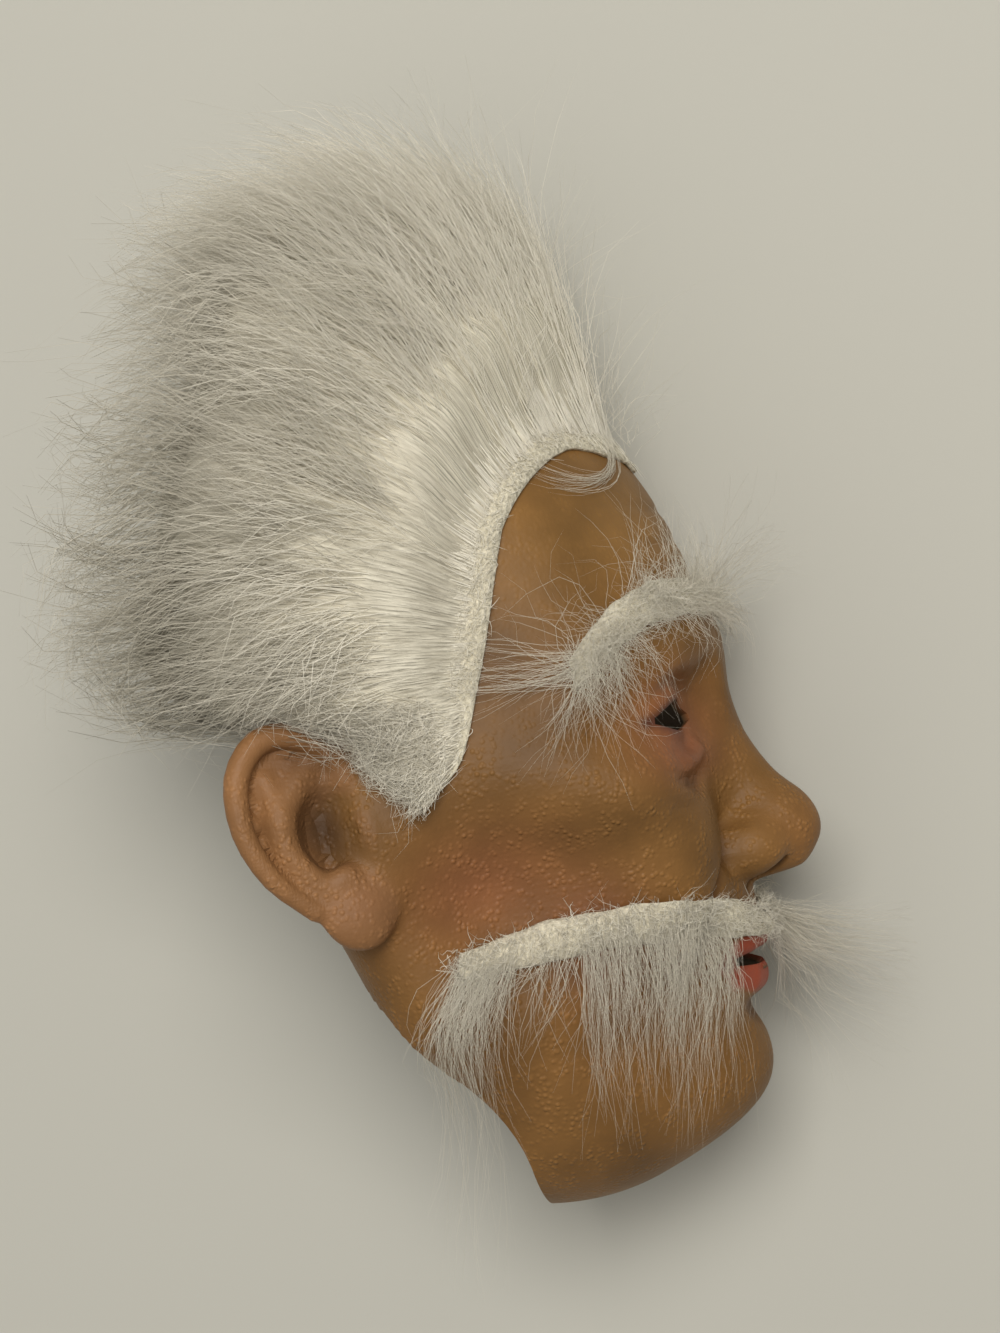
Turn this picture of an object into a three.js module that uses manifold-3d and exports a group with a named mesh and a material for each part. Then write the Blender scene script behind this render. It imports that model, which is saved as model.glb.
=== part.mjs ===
// Old man mask: a moulded latex face with its ears, and hair, brows and moustache of white pile fabric.
// It lies on its left side. Millimetres: x runs forward out of the face, y up the face and z to the
// wearer's right, which is upwards as the mask lies. While shaping, x = 0 is the brow and y = 0 the chin.
import * as THREE from "three";
import { mergeVertices } from "three/addons/utils/BufferGeometryUtils.js";
import Module from "manifold-3d";

const wasm = await Module();
wasm.setup();

// Driving sizes
const WALL = 2.4; // latex thickness
const FIT = 0.35; // gap left where two pieces touch
const BED = -60.3; // z of the surface that the mask lies on
const PRESS_SOFT = 4; // how gently the underside turns flat
const PRESS_FACE = 61; // half width that the pressed cheek is held to
const PRESS_EAR = 8; // the pressed side gives way this much more behind, for hair and ear
const CENTRE = [-62, 84, 0]; // middle of the face form, from which its surface is found
const FACE_GRID = { columns: 38, rows: 29 }; // how finely the face is faceted

// Eye: corners across the face, their height, and the rise of the lids above and below
const EYE = { inner: 16.5, outer: 50, y: 116, up: 5.4, down: 3.6, ball: [-25.5, 117, 33], size: [15.5, 13.5, 18] };
const MOUTH = { y: 43.8, half: 23, open: 2.4 };
const MUZZLE = { at: [-27, 50, 0], size: [27, 32, 35] };

// Ear: height, width, lean and how far it stands off the head, upper and pressed side
const EAR = { at: [-111, 99], z: { right: 75, left: 52.2 }, lean: 13, flare: { right: 27, left: 2 } };

// Hair: angles are about the fore-and-aft axis at AXIS_Y, counted from the top of the head
const HAIR = { axisY: 140, end: 122, overEar: 93, edge: 2.6, sideDepth: 27, topDepth: 64, locks: 11 };

const rad = THREE.MathUtils.degToRad;
const { clamp, lerp, smoothstep } = THREE.MathUtils;
const mix = (a, b, t) => a.map((v, i) => lerp(v, b[i], t));

// Distance fields: negative inside
function ellipsoid(p, c, r) {
  const q = p.map((v, i) => (v - c[i]) / r[i]);
  const outer = Math.hypot(...q);
  const inner = Math.hypot(q[0] / r[0], q[1] / r[1], q[2] / r[2]) + 1e-9;
  return (outer * (outer - 1)) / inner;
}

function capsule(p, a, b, ra, rb) {
  const ab = b.map((v, i) => v - a[i]);
  const along = ab.reduce((s, v, i) => s + v * (p[i] - a[i]), 0) / ab.reduce((s, v) => s + v * v, 0);
  const t = clamp(along, 0, 1);
  return Math.hypot(...p.map((v, i) => v - a[i] - t * ab[i])) - lerp(ra, rb, t);
}

function chain(p, points, radii) {
  let d = Infinity;
  for (let i = 0; i + 1 < points.length; i++)
    d = Math.min(d, capsule(p, points[i], points[i + 1], radii[i], radii[i + 1]));
  return d;
}

// join and carve blend over k millimetres
function join(a, b, k) {
  const h = Math.max(k - Math.abs(a - b), 0) / k;
  return Math.min(a, b) - (h * h * k) / 4;
}
const carve = (a, tool, k) => -join(-a, tool, k);

// A crease (depth > 0) or a fold (depth < 0) along a line seen from the front
function crease(p, points, depth, width) {
  const flat = ([x, y, z]) => [0.3 * x, y, z];
  const q = flat(p);
  let d = Infinity;
  for (let i = 0; i + 1 < points.length; i++)
    d = Math.min(d, capsule(q, flat(points[i]), flat(points[i + 1]), 0, 0));
  return depth * Math.exp(-((d / width) ** 2));
}

const onMuzzle = (y, z, out) => {
  const { at, size } = MUZZLE;
  const rest = 1 - ((y - at[1]) / size[1]) ** 2 - (z / size[2]) ** 2;
  return [at[0] + size[0] * Math.sqrt(Math.max(rest, 0.02)) + out, y, z];
};

// The head without ears, for one side; z is never negative here
function headForm(p) {
  const lump = (d, at, size, k) => join(d, ellipsoid(p, at, size), k);
  const hollow = (d, at, size, k) => carve(d, ellipsoid(p, at, size), k);
  const bar = (d, points, radii, k) => join(d, chain(p, points, radii), k);
  // skull, face block, jaw, cheek, mouth mound, chin and throat
  let d = ellipsoid(p, [-88, 150, 0], [83, 84, 75]);
  d = lump(d, [-62, 104, 0], [58, 74, 62], 30);
  d = bar(d, [[-28, 18, 8], [-60, 27, 34], [-86, 46, 46], [-98, 92, 54]], [16, 16, 17, 17], 26);
  d = lump(d, [-60, 64, 0], [50, 48, 57], 24);
  d = lump(d, MUZZLE.at, MUZZLE.size, 18);
  d = lump(d, [-18.5, 13, 0], [17, 14, 19], 14);
  d = lump(d, [-64, 12, 0], [50, 33, 43], 16);
  // cheekbone, pad beside the nose, brow ridge
  d = lump(d, [-38, 98, 46], [25, 13, 18], 20);
  d = lump(d, [-22, 80, 32], [16, 17, 14], 14);
  d = bar(d, [[-9, 136, 5], [-10.5, 138, 22], [-21, 137, 38], [-36, 131, 53]], [8.5, 9, 8, 6.5], 14);
  // temple, hollow of the cheek, eye socket and its inner corner
  d = hollow(d, [-52, 152, 92], [34, 30, 22], 26);
  d = hollow(d, [-50, 68, 80], [28, 22, 22], 24);
  d = hollow(d, [7, 119, 32], [19, 13, 20], 9);
  d = hollow(d, [3, 121, 15], [10, 10, 7], 7);
  // closed lid over the eyeball
  d = lump(d, EYE.ball, EYE.size, 4);
  // nose: bridge, tip, wing and the bar between the nostrils
  d = bar(d, [[-11, 126, 0], [-2.5, 105, 0], [8, 85, 0]], [7.5, 8.5, 10], 12);
  d = lump(d, [12, 79, 0], [11.5, 10, 11], 10);
  d = lump(d, [0.5, 75.5, 12.3], [12.5, 8.6, 7.7], 5);
  d = bar(d, [[14, 72.5, 0], [-2, 67.5, 0]], [4.5, 4.5], 4);
  // lips
  const upper = [[48.8, 0], [50.4, 5], [48, 14], [44.5, 25]].map(([y, z]) => onMuzzle(y, z, -1.5));
  const lower = [[38, 0], [38, 9], [41.5, 23]].map(([y, z]) => onMuzzle(y, z, -2.8));
  d = bar(d, upper, [4.4, 5, 4.4, 2], 4);
  d = bar(d, lower, [6.4, 5.8, 2.2], 4);
  // folds: nose wing to mouth, round the nose wing, mouth line, chin, pouch under the eye
  d += crease(p, [[-3, 82, 20.5], [-9, 72, 26], [-14, 58, 33], [-19, 46, 37], [-22, 38, 37]], 2.6, 3);
  d += crease(p, [[3, 86, 13], [-6, 82.5, 18.5], [-9, 75, 21], [-8, 68, 19]], 1.8, 2.2);
  d += crease(p, [[0, 44, 0], [-1, 44.4, 10], [-8, 43.6, 26], [-12, 42, 31]], 2.4, 2.2);
  d += crease(p, [[-4, 28.5, 0], [-7, 30, 12]], 2.4, 4.6);
  d -= crease(p, [[-10, 108, 20], [-8, 104, 30], [-14, 104, 44]], 1.6, 3.4);
  d += crease(p, [[-8, 102, 18], [-8, 96.5, 32], [-16, 98, 48]], 1.8, 2.6);
  return d;
}

// The side that is lain on gives way: this turns a pressed z back into the symmetric head's z
function unpress(x, z) {
  const limit = PRESS_FACE - PRESS_EAR * smoothstep(-x, 58, 98);
  const knee = limit - PRESS_SOFT;
  if (-z <= knee) return { z: Math.abs(z), give: 1 };
  const most = 0.95;
  const t = Math.min((-z - knee) / PRESS_SOFT, most);
  const beyond = Math.max((-z - knee) / PRESS_SOFT - most, 0);
  return { z: knee - PRESS_SOFT * Math.log(1 - t) + (beyond * PRESS_SOFT) / (1 - most), give: 1 - t };
}

function face(p) {
  const { z, give } = unpress(p[0], p[2]);
  return headForm([p[0], p[1], z]) * give;
}

// The ear's own axes: up its length, back along its width, out of its bowl
function earAxes(side) {
  const lean = rad(EAR.lean);
  const flare = rad(EAR.flare[side]);
  const up = new THREE.Vector3(-Math.sin(lean), Math.cos(lean), 0);
  const across = Math.cos(flare);
  const back = new THREE.Vector3(-Math.cos(lean) * across, -Math.sin(lean) * across, Math.sin(flare));
  const out = new THREE.Vector3().crossVectors(up, back);
  return { up, back, out, at: new THREE.Vector3(...EAR.at, EAR.z[side]) };
}

// Ear in its own axes: plate, lobe, back of the bowl, rolled rim, bowl, inner ridge and tragus
function earForm(q) {
  let d = join(ellipsoid(q, [7, 0, 0], [25, 17, 4]), ellipsoid(q, [-21, -4, 0.5], [12, 10, 4]), 8);
  d = join(d, ellipsoid(q, [-2, -5, -6], [15, 13, 9]), 6);
  d = join(d, ellipsoid(q, [2, -20, -4], [24, 10, 9]), 8);
  const rim = [[1, -8, -1], [8, -13.5, 2], [19, -13, 4], [28, -4, 5], [29.5, 6, 5], [22, 15, 5]];
  rim.push([8, 18.5, 4.5], [-7, 15.5, 4], [-19, 7.5, 2.5]);
  d = join(d, chain(q, rim, [2.2, 3, 3.4, 3.6, 3.6, 3.5, 3.2, 2.9, 2.4]), 3);
  d = carve(d, ellipsoid(q, [-2, -5.5, 6], [13.5, 10, 10]), 4);
  d = join(d, chain(q, [[-14, 2, 2], [-4, 8, 3.4], [7, 7.5, 3.6], [17, -3, 2]], [2.6, 2.6, 2.8, 1.8]), 4);
  d = join(d, ellipsoid(q, [-3.5, -14.5, 3.5], [6.5, 3, 4]), 3);
  return join(d, ellipsoid(q, [-24, -5, 1], [10, 9, 4.6]), 4);
}

// Walks from one point towards another until it meets the surface of a distance field
function meet(field, from, to, offset = 0) {
  const length = Math.hypot(...to.map((v, i) => v - from[i]));
  let t = 0;
  for (let step = 0; step < 90 && t < 1; step++) {
    const d = field(mix(from, to, t)) - offset;
    if (d < 0.01) return mix(from, to, t);
    t += Math.max(0.7 * d, 0.02) / length;
  }
  return to;
}

function gradient(field, p) {
  const e = 0.3;
  const g = p.map((_, i) => {
    const more = p.map((v, k) => (k === i ? v + e : v));
    const less = p.map((v, k) => (k === i ? v - e : v));
    return field(more) - field(less);
  });
  const size = Math.hypot(...g);
  return g.map((v) => v / size);
}

function solid(geometry) {
  const bare = geometry.clone();
  bare.deleteAttribute("normal");
  bare.deleteAttribute("uv");
  const merged = mergeVertices(bare, 1e-3);
  const mesh = new wasm.Mesh({
    numProp: 3,
    vertProperties: merged.attributes.position.array,
    triVerts: new Uint32Array(merged.index.array),
  });
  return new wasm.Manifold(mesh);
}

function toGeometry(made) {
  const mesh = made.getMesh();
  const geometry = new THREE.BufferGeometry();
  geometry.setAttribute("position", new THREE.BufferAttribute(new Float32Array(mesh.vertProperties), 3));
  geometry.setIndex(new THREE.BufferAttribute(new Uint32Array(mesh.triVerts), 1));
  return geometry;
}

function reshape(geometry, place) {
  const position = geometry.attributes.position;
  for (let i = 0; i < position.count; i++)
    position.setXYZ(i, ...place([position.getX(i), position.getY(i), position.getZ(i)]));
  return geometry;
}

// The whole face form, with its rows and columns close together over the features
function faceBlock(columns, rows) {
  const reach = 175;
  const turn = (u) => rad(85 * u + 95 * u ** 3);
  const rise = (v) => rad(72 * v + 18 * v ** 3);
  return reshape(new THREE.SphereGeometry(1, columns, rows), ([x, y, z]) => {
    const polar = Math.asin(clamp(y, -1, 1)) / (Math.PI / 2);
    const round = Math.atan2(z, x) / Math.PI;
    const pole = 1 - Math.abs(polar) < 1e-6;
    const [a, b] = pole ? [0, polar * (Math.PI / 2)] : [turn(round), rise(polar)];
    const aim = [Math.cos(b) * Math.cos(a), Math.sin(b), Math.cos(b) * Math.sin(a)];
    return meet(face, CENTRE.map((v, i) => v + reach * aim[i]), CENTRE);
  });
}

// Closed solid between an outer and an inner grid of points, joined along their edges
function between(nu, nv, outer, inner) {
  const points = [];
  for (const side of [outer, inner])
    for (let i = 0; i <= nu; i++) for (let j = 0; j <= nv; j++) points.push(...side(i / nu, j / nv));
  const at = (side, i, j) => (side * (nu + 1) + i) * (nv + 1) + j;
  const index = [];
  const quad = (a, b, c, d) => index.push(a, b, c, a, c, d);
  for (let i = 0; i < nu; i++)
    for (let j = 0; j < nv; j++) {
      quad(at(0, i, j), at(0, i + 1, j), at(0, i + 1, j + 1), at(0, i, j + 1));
      quad(at(1, i, j), at(1, i, j + 1), at(1, i + 1, j + 1), at(1, i + 1, j));
    }
  for (let i = 0; i < nu; i++) {
    quad(at(0, i + 1, 0), at(0, i, 0), at(1, i, 0), at(1, i + 1, 0));
    quad(at(0, i, nv), at(0, i + 1, nv), at(1, i + 1, nv), at(1, i, nv));
  }
  for (let j = 0; j < nv; j++) {
    quad(at(0, 0, j), at(0, 0, j + 1), at(1, 0, j + 1), at(1, 0, j));
    quad(at(0, nu, j + 1), at(0, nu, j), at(1, nu, j), at(1, nu, j + 1));
  }
  const geometry = new THREE.BufferGeometry();
  geometry.setAttribute("position", new THREE.BufferAttribute(new Float32Array(points), 3));
  geometry.setIndex(index);
  return geometry;
}

// Outline of the mask seen from its side: throat, jaw, behind the ear, under the hair, then well in front
function trimBlock() {
  const outline = new THREE.Shape();
  outline.moveTo(-67, -40);
  outline.lineTo(-70, -4);
  outline.quadraticCurveTo(-72, 12, -89, 27);
  outline.lineTo(-110, 57);
  outline.quadraticCurveTo(-116, 66, -116, 80);
  outline.lineTo(-116, 124);
  outline.quadraticCurveTo(-114, 134, -99, 150);
  outline.splineThru([[-84, 172], [-66, 190], [-44, 204], [-20, 213]].map((q) => new THREE.Vector2(...q)));
  outline.lineTo(80, 230);
  outline.lineTo(80, -40);
  const block = new THREE.ExtrudeGeometry(outline, { depth: 260, bevelEnabled: false, curveSegments: 5 });
  block.translate(0, 0, -130);
  const seat = 0.046; // the half that is lain on reaches further back along the neck's edge
  return reshape(block, ([x, y, z]) => [x + seat * (z - 60) * clamp((57 - y) / 27, 0, 1), y, z]);
}

// Hole through the front, from its outline seen from the front: local x is across, y is up
function frontHole(outline, far, near) {
  return new THREE.ExtrudeGeometry(outline, { depth: near - far, bevelEnabled: false, curveSegments: 7 })
    .rotateY(-Math.PI / 2)
    .translate(near, 0, 0);
}

function eyeHole(side) {
  const { inner, outer, y, up, down } = EYE;
  const middle = (inner + outer) / 2;
  const outline = new THREE.Shape();
  outline.moveTo(side * inner, y);
  outline.quadraticCurveTo(side * middle, y + 2 * up, side * outer, y);
  outline.quadraticCurveTo(side * middle, y - 2 * down, side * inner, y);
  return frontHole(outline, -48, 20);
}

function mouthHole() {
  const outline = new THREE.Shape();
  outline.absellipse(0, MOUTH.y, MOUTH.half, MOUTH.open, 0, 2 * Math.PI);
  return frontHole(outline, -32, 20);
}

function nostril(side) {
  return new THREE.SphereGeometry(1, 12, 8)
    .scale(7.5, 6.5, 3.5)
    .rotateZ(rad(35))
    .translate(5, 68.5, side * 8.2);
}

function flipped(geometry) {
  const turned = geometry.clone();
  const index = turned.index;
  for (let i = 0; i < index.count; i += 3) {
    const a = index.getX(i);
    index.setX(i, index.getX(i + 1));
    index.setX(i + 1, a);
  }
  return turned;
}

const facingOut = (geometry) => (solid(geometry).volume() < 0 ? flipped(geometry) : geometry);

// One ear, or with grow above zero the room that it needs
function earSolid(side, grow = 0) {
  const { up, back, out, at } = earAxes(side);
  const sign = side === "left" ? -1 : 1;
  const start = [46, 31, 17];
  const core = [0.3, 0.3, 0.1];
  const made = reshape(new THREE.SphereGeometry(1, 18, 13), (dir) => {
    const from = dir.map((v, i) => v * start[i]);
    const q = meet(earForm, from, from.map((v, i) => v * core[i]), grow);
    const p = at.clone().addScaledVector(up, q[0]).addScaledVector(back, q[1]).addScaledVector(out, q[2]);
    return [p.x, p.y, sign * p.z];
  });
  return solid(facingOut(made));
}

function earCanal(side) {
  const { up, back, out, at } = earAxes(side);
  const sign = side === "left" ? -1 : 1;
  const middle = at.clone().addScaledVector(up, -3).addScaledVector(back, -9);
  const aim = new THREE.Vector3(out.x, out.y, sign * out.z).normalize();
  const turn = new THREE.Quaternion().setFromUnitVectors(new THREE.Vector3(0, 1, 0), aim);
  return new THREE.CylinderGeometry(4.2, 4.2, 52, 8)
    .applyQuaternion(turn)
    .translate(middle.x, middle.y, sign * middle.z);
}

// The face form made fatter or, with a distance below zero, thinner
const offsetForm = (geometry, distance) =>
  reshape(geometry.clone(), (p) => {
    const n = gradient(face, p);
    return p.map((v, i) => v + distance * n[i]);
  });

const under = solid(new THREE.BoxGeometry(800, 900, 100).translate(0, 0, BED - 50));
const outside = facingOut(faceBlock(FACE_GRID.columns, FACE_GRID.rows));

function latexFace() {
  const inside = solid(offsetForm(outside, -WALL));
  let shell = solid(outside).subtract(inside).intersect(solid(trimBlock()));
  for (const side of ["right", "left"]) shell = shell.add(earSolid(side).subtract(inside));
  for (const side of ["right", "left"]) shell = shell.subtract(solid(earCanal(side)));
  for (const side of [1, -1]) shell = shell.subtract(solid(eyeHole(side))).subtract(solid(nostril(side)));
  return toGeometry(shell.subtract(solid(mouthHole())).subtract(under));
}

// Room that the face and ears need, which the pile pieces are cut back to
const room = solid(offsetForm(outside, FIT)).add(earSolid("right", FIT)).add(earSolid("left", FIT));

const cutClear = (geometry) => toGeometry(solid(facingOut(geometry)).subtract(room).subtract(under));

// Point of the head at a place along x and an angle from the top
function skullPoint(x, angle, offset) {
  const aim = [0, Math.cos(angle), Math.sin(angle)];
  const middle = [x, HAIR.axisY, 0];
  return meet(face, middle.map((v, i) => v + 150 * aim[i]), middle, offset);
}

// The hairpiece: u runs from the left sideburn over the top to the right one, v from the hairline back
function hairPoint(u, v, outer) {
  const degrees = lerp(-HAIR.end, HAIR.end, u);
  const angle = rad(degrees);
  const off = Math.abs(degrees);
  const line = off < 90 ? -18 - 40 * (off / 90) ** 1.6 : -58 - 26 * ((off - 90) / (HAIR.end - 90));
  const lock = Math.sin(u * Math.PI * 2 * HAIR.locks + 3 * v);
  const swept = -137 - 36 * Math.abs(Math.sin(angle)) ** 1.5 - 6 * lock;
  const tip = lerp(swept, -92, smoothstep(off, HAIR.overEar, HAIR.overEar + 7));
  const x = lerp(line, tip, v);
  const base = skullPoint(Math.max(x, -150), angle, FIT + 0.5);
  base[0] = x;
  if (!outer) return base;
  const crown = Math.max(Math.cos(angle), 0) ** 1.2;
  const deep = lerp(HAIR.sideDepth, HAIR.topDepth, crown) * lerp(1, 0.25, smoothstep(off, 88, 100));
  const slow = Math.sin(Math.min(v * 1.9 + 0.08, Math.PI / 2));
  const steep = 1 - (1 - Math.min(v / 0.35, 1)) ** 5;
  const rise = lerp(slow, steep, crown) * lerp(1, lerp(0.72, 0.86, crown), v * v);
  const depth = HAIR.edge + (deep - HAIR.edge) * rise * (1 + 0.12 * lock) * (v > 0 ? 1 : 0.12);
  const lean = (3 + 0.3 * depth) * crown * (1 - v) ** 2 - 0.12 * depth * v;
  return [x + lean, base[1] + depth * Math.cos(angle), base[2] + depth * Math.sin(angle)];
}

function hairpiece() {
  const closer = (v) => v ** 1.4;
  return cutClear(between(34, 9, (u, v) => hairPoint(u, closer(v), true), (u, v) => hairPoint(u, closer(v), false)));
}

// Point of the face at a height and an angle round from the front, the given distance off the skin
function skinPoint(y, degrees, offset) {
  const angle = rad(degrees);
  const aim = [Math.cos(angle), 0, Math.sin(angle)];
  const middle = [CENTRE[0], y, 0];
  return meet(face, middle.map((v, i) => v + 140 * aim[i]), middle.map((v, i) => v + 34 * aim[i]), offset);
}

// A strip of pile glued to the skin: u runs along it from the middle of the face, v from its upper edge
// down to the tips of the hair
function strip({ side, path, length, thickness, forward }) {
  const across = 9;
  const point = (u, v, outer) => {
    const { y, angle, slant } = path(u);
    const down = v * (across + length(u));
    const degrees = side * (angle + slant * Math.max(down - across, 0));
    const base = skinPoint(Math.max(y + across / 2 - down, 1), degrees, FIT + 0.6);
    base[1] = y + across / 2 - down;
    if (!outer) return base;
    const depth = thickness * Math.sin(Math.PI * clamp(0.12 + 0.8 * v, 0, 1)) + 1.2;
    const flare = forward ? forward(u) * Math.sin(Math.PI * v) : 0;
    const swing = rad(degrees);
    return [base[0] + depth * Math.cos(swing) + flare, base[1], base[2] + depth * Math.sin(swing)];
  };
  return cutClear(between(9, 5, (u, v) => point(u, v, true), (u, v) => point(u, v, false)));
}

function brow(side) {
  const reach = side > 0 ? 62 : 54;
  const path = (u) => ({
    y: 143 + 7 * Math.sin(Math.PI * (0.1 + 0.75 * u)) - 12 * u * u,
    angle: 4 + reach * u,
    slant: 0.3,
  });
  return strip({ side, path, length: (u) => 6 + 10 * u, thickness: 5 });
}

// The half that is lain on is shorter, because the mask is pressed flat there
function moustache(side) {
  const reach = side > 0 ? 92 : 72;
  const path = (u) => ({ y: 53 + 5 * Math.sin(Math.PI * u) - 4 * u, angle: 4 + reach * u, slant: 0.04 + 0.42 * u ** 4 });
  const curtain = (u) => smoothstep(u, 0.14, 0.3) * (1 - 0.75 * smoothstep(u, 0.62, 0.76));
  const length = (u) => 8 + 44 * curtain(u) + 45 * smoothstep(u, 0.84, 0.94);
  const forward = side < 0 ? (u) => 22 * (1 - smoothstep(u, 0.1, 0.6)) : null;
  return strip({ side, path, length, thickness: 4.5, forward });
}

const latex = new THREE.MeshStandardMaterial({ color: 0x8c6a42, roughness: 0.5, metalness: 0 });
const pile = new THREE.MeshStandardMaterial({ color: 0xd8d4c6, roughness: 0.85, metalness: 0 });

const mask = new THREE.Group();
function add(name, geometry, material) {
  const mesh = new THREE.Mesh(geometry, material);
  mesh.name = name;
  mask.add(mesh);
}

add("latex_face", latexFace(), latex);
add("hairpiece", hairpiece(), pile);
for (const [name, side] of [["right", 1], ["left", -1]]) {
  add("brow_" + name, brow(side), pile);
  add("moustache_" + name, moustache(side), pile);
}

// The origin goes under the middle of the mask, on the surface that it lies on
const box = new THREE.Box3().setFromObject(mask);
mask.position.set(-(box.min.x + box.max.x) / 2, -(box.min.y + box.max.y) / 2, -BED);

export default mask;
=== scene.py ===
"""Old man mask: a painted latex face with white pile hair, brows and moustache, lying on its left side.

Shapes are worked out in millimetres on the head's own axes: x forward out of the face, y up the face, z to
the wearer's right, with x = 0 at the brow and y = 0 at the chin. place() puts them in the frame, in metres.
"""

import math

import bmesh
import bpy
import numpy as np
from mathutils import Matrix, Vector
from mathutils.kdtree import KDTree


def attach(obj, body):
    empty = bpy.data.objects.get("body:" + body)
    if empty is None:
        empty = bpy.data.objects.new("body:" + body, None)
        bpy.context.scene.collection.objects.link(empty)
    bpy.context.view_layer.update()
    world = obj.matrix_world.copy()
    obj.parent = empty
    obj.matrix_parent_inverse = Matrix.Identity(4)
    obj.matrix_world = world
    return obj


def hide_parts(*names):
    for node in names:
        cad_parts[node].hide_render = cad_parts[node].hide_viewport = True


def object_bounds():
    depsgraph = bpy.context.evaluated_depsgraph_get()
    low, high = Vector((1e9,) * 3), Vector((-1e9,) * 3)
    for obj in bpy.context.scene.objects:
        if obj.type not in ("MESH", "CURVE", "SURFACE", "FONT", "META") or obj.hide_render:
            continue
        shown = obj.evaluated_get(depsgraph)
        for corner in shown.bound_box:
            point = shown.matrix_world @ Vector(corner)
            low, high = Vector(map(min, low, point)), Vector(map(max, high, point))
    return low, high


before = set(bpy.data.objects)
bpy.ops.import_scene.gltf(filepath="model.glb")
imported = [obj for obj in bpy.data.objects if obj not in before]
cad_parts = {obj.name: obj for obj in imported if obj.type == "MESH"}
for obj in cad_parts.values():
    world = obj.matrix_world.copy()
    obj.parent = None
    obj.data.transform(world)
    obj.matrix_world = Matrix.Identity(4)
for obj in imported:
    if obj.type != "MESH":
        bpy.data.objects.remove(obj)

bl_info = {
    "name": "Old man mask",
    "version": (1, 0, 0),
    "blender": (4, 5, 0),
    "location": "3D View > Sidebar > Old Man Mask",
    "description": "Dresses the mask's solids with painted latex and long white pile",
    "category": "Add Mesh",
}

CAD_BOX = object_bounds()
SIDES = {"right": 1, "left": -1}

# Where the head's own zero lies in the frame, in millimetres, and the surface that the mask lies on
SHIFT = np.array((74.421, -138.758, 60.3))
BED = -60.3

# The sizes down to HEAD_MIDDLE are in millimetres and degrees.
# How far down the lain-on side reaches, how much less that is at the ears, and how softly it gives way
PRESS_FACE, PRESS_EAR, PRESS_SOFT = 61.0, 8.0, 4.0

# Point in the head from which all of the face is seen
CENTRE = np.array((-62.0, 84.0, 0.0))

# Corners, height and opening of an eye, and its ball
EYE_IN, EYE_OUT, EYE_Y, EYE_UP, EYE_DOWN = 16.5, 50.0, 116.0, 5.4, 3.6
BALL_AT, BALL_SIZE = (-25.5, 117, 33), (15.5, 13.5, 18)

# Height, half the width and half the opening of the mouth, and the lump that it lies on
MOUTH_Y, MOUTH_HALF, MOUTH_OPEN = 43.8, 23.0, 2.4
MUZZLE_AT, MUZZLE_SIZE = (-27, 50, 0), (27, 32, 35)

# Place of the ears as x and y, their lean backwards, their z and how far they turn outwards
EAR_AT, EAR_LEAN = (-111.0, 99.0), 13.0
EAR_Z = {"right": 75.0, "left": 52.2}
EAR_FLARE = {"right": 27.0, "left": 2.0}

# Height of the line that the hair goes round, how many degrees from the top it ends, and where the ear begins
HAIR_AXIS, HAIR_END, OVER_EAR = 140.0, 116.0, 93.5

# Depth of the hair at its edge, on the sides and on top, and how it rises on top along its run
HAIR_EDGE, SIDE_DEPTH, TOP_DEPTH = 2.6, 27.0, 75.0
TOP_RUN = (0, 0.05, 0.1, 0.2, 0.3, 0.42, 0.56, 0.75, 1)
TOP_RISE = (0.02, 0.15, 0.31, 0.53, 0.67, 0.78, 0.86, 0.94, 1)

# The hairline: degrees from the top, and x there
HAIRLINE_TURN = (0, 20, 30, 60, 70, 90, 105, 110, 113, 116)
HAIRLINE = (-14, -20, -28.5, -47.5, -51, -57.5, -63.5, -66.5, -70, -77)

# Gap between the skin and the hair, and the point that every sheet of pile faces away from
FIT = 0.35
HEAD_MIDDLE = np.array((-62.0, 110.0, 0.0))

# The lowest places of skin, fibres, hair and strips, and the top of the hair that the mask lies on
SKIN_LOW, FIBRE_LOW, HAIR_LOW, STRIP_LOW, PRESSED_TOP = (BED + gap for gap in (0.05, 0.3, 0.95, 1.4, 1.8))

# Thickness of the knitted backing, of the dense layer over it and of the strips on the face, and their width
BACKING_THICK, UNDER_PILE_THICK, STRIP_THICK, STRIP_WIDTH = 1.2, 2.0, 0.6, 10.5

# Faces round and from pole to pole of the spheres that become the head and an ear
HEAD_FACES, EAR_FACES = (150, 90), (60, 36)

# Faces along and across the knitted backing, the dense layer over it and a strip on the face
BACKING_FACES, UNDER_PILE_FACES, STRIP_FACES = (120, 18), (210, 40), (60, 8)

# How heights over the floor change where the dense layer is pressed flat, in millimetres
FLOOR_PRESS_FROM, FLOOR_PRESS_TO = (-3, 0, 3, 6, 200), (0.2, 0.5, 2.0, 6, 200)

# Middle of a nostril, how far it leans back, and its own axes
NOSTRIL_AT, NOSTRIL_LEAN = (6, 68, 8.4), math.radians(32)
NOSTRIL_AXES = np.array((
    (math.cos(NOSTRIL_LEAN), -math.sin(NOSTRIL_LEAN), 0.0),
    (math.sin(NOSTRIL_LEAN), math.cos(NOSTRIL_LEAN), 0.0),
    (0.0, 0.0, 1.0),
))

# Only skin in front of these x is cut along the outlines of the eyes and the mouth
EYE_BACK, MOUTH_BACK = -48, -32

# The hair's run that the backing covers, and where the last fibres are rooted
BACKING_SHARE, LAST_ROOT = 0.52, 0.8

# Locks of hair, how much further apart they count sideways, and how much paler they are for leaning right
LOCKS, LOCK_SPREAD, LEAN_TO_SHADE = 420, 3.4, 20 / 3

# Points of the fibres in the hair's four layers, and the numbers of the other kinds of fibre
LAYER_POINTS = (4, 4, 5, 6)
WISP_COUNT, CURL_COUNT, EDGE_COUNT = 420, 34, 2900

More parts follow.
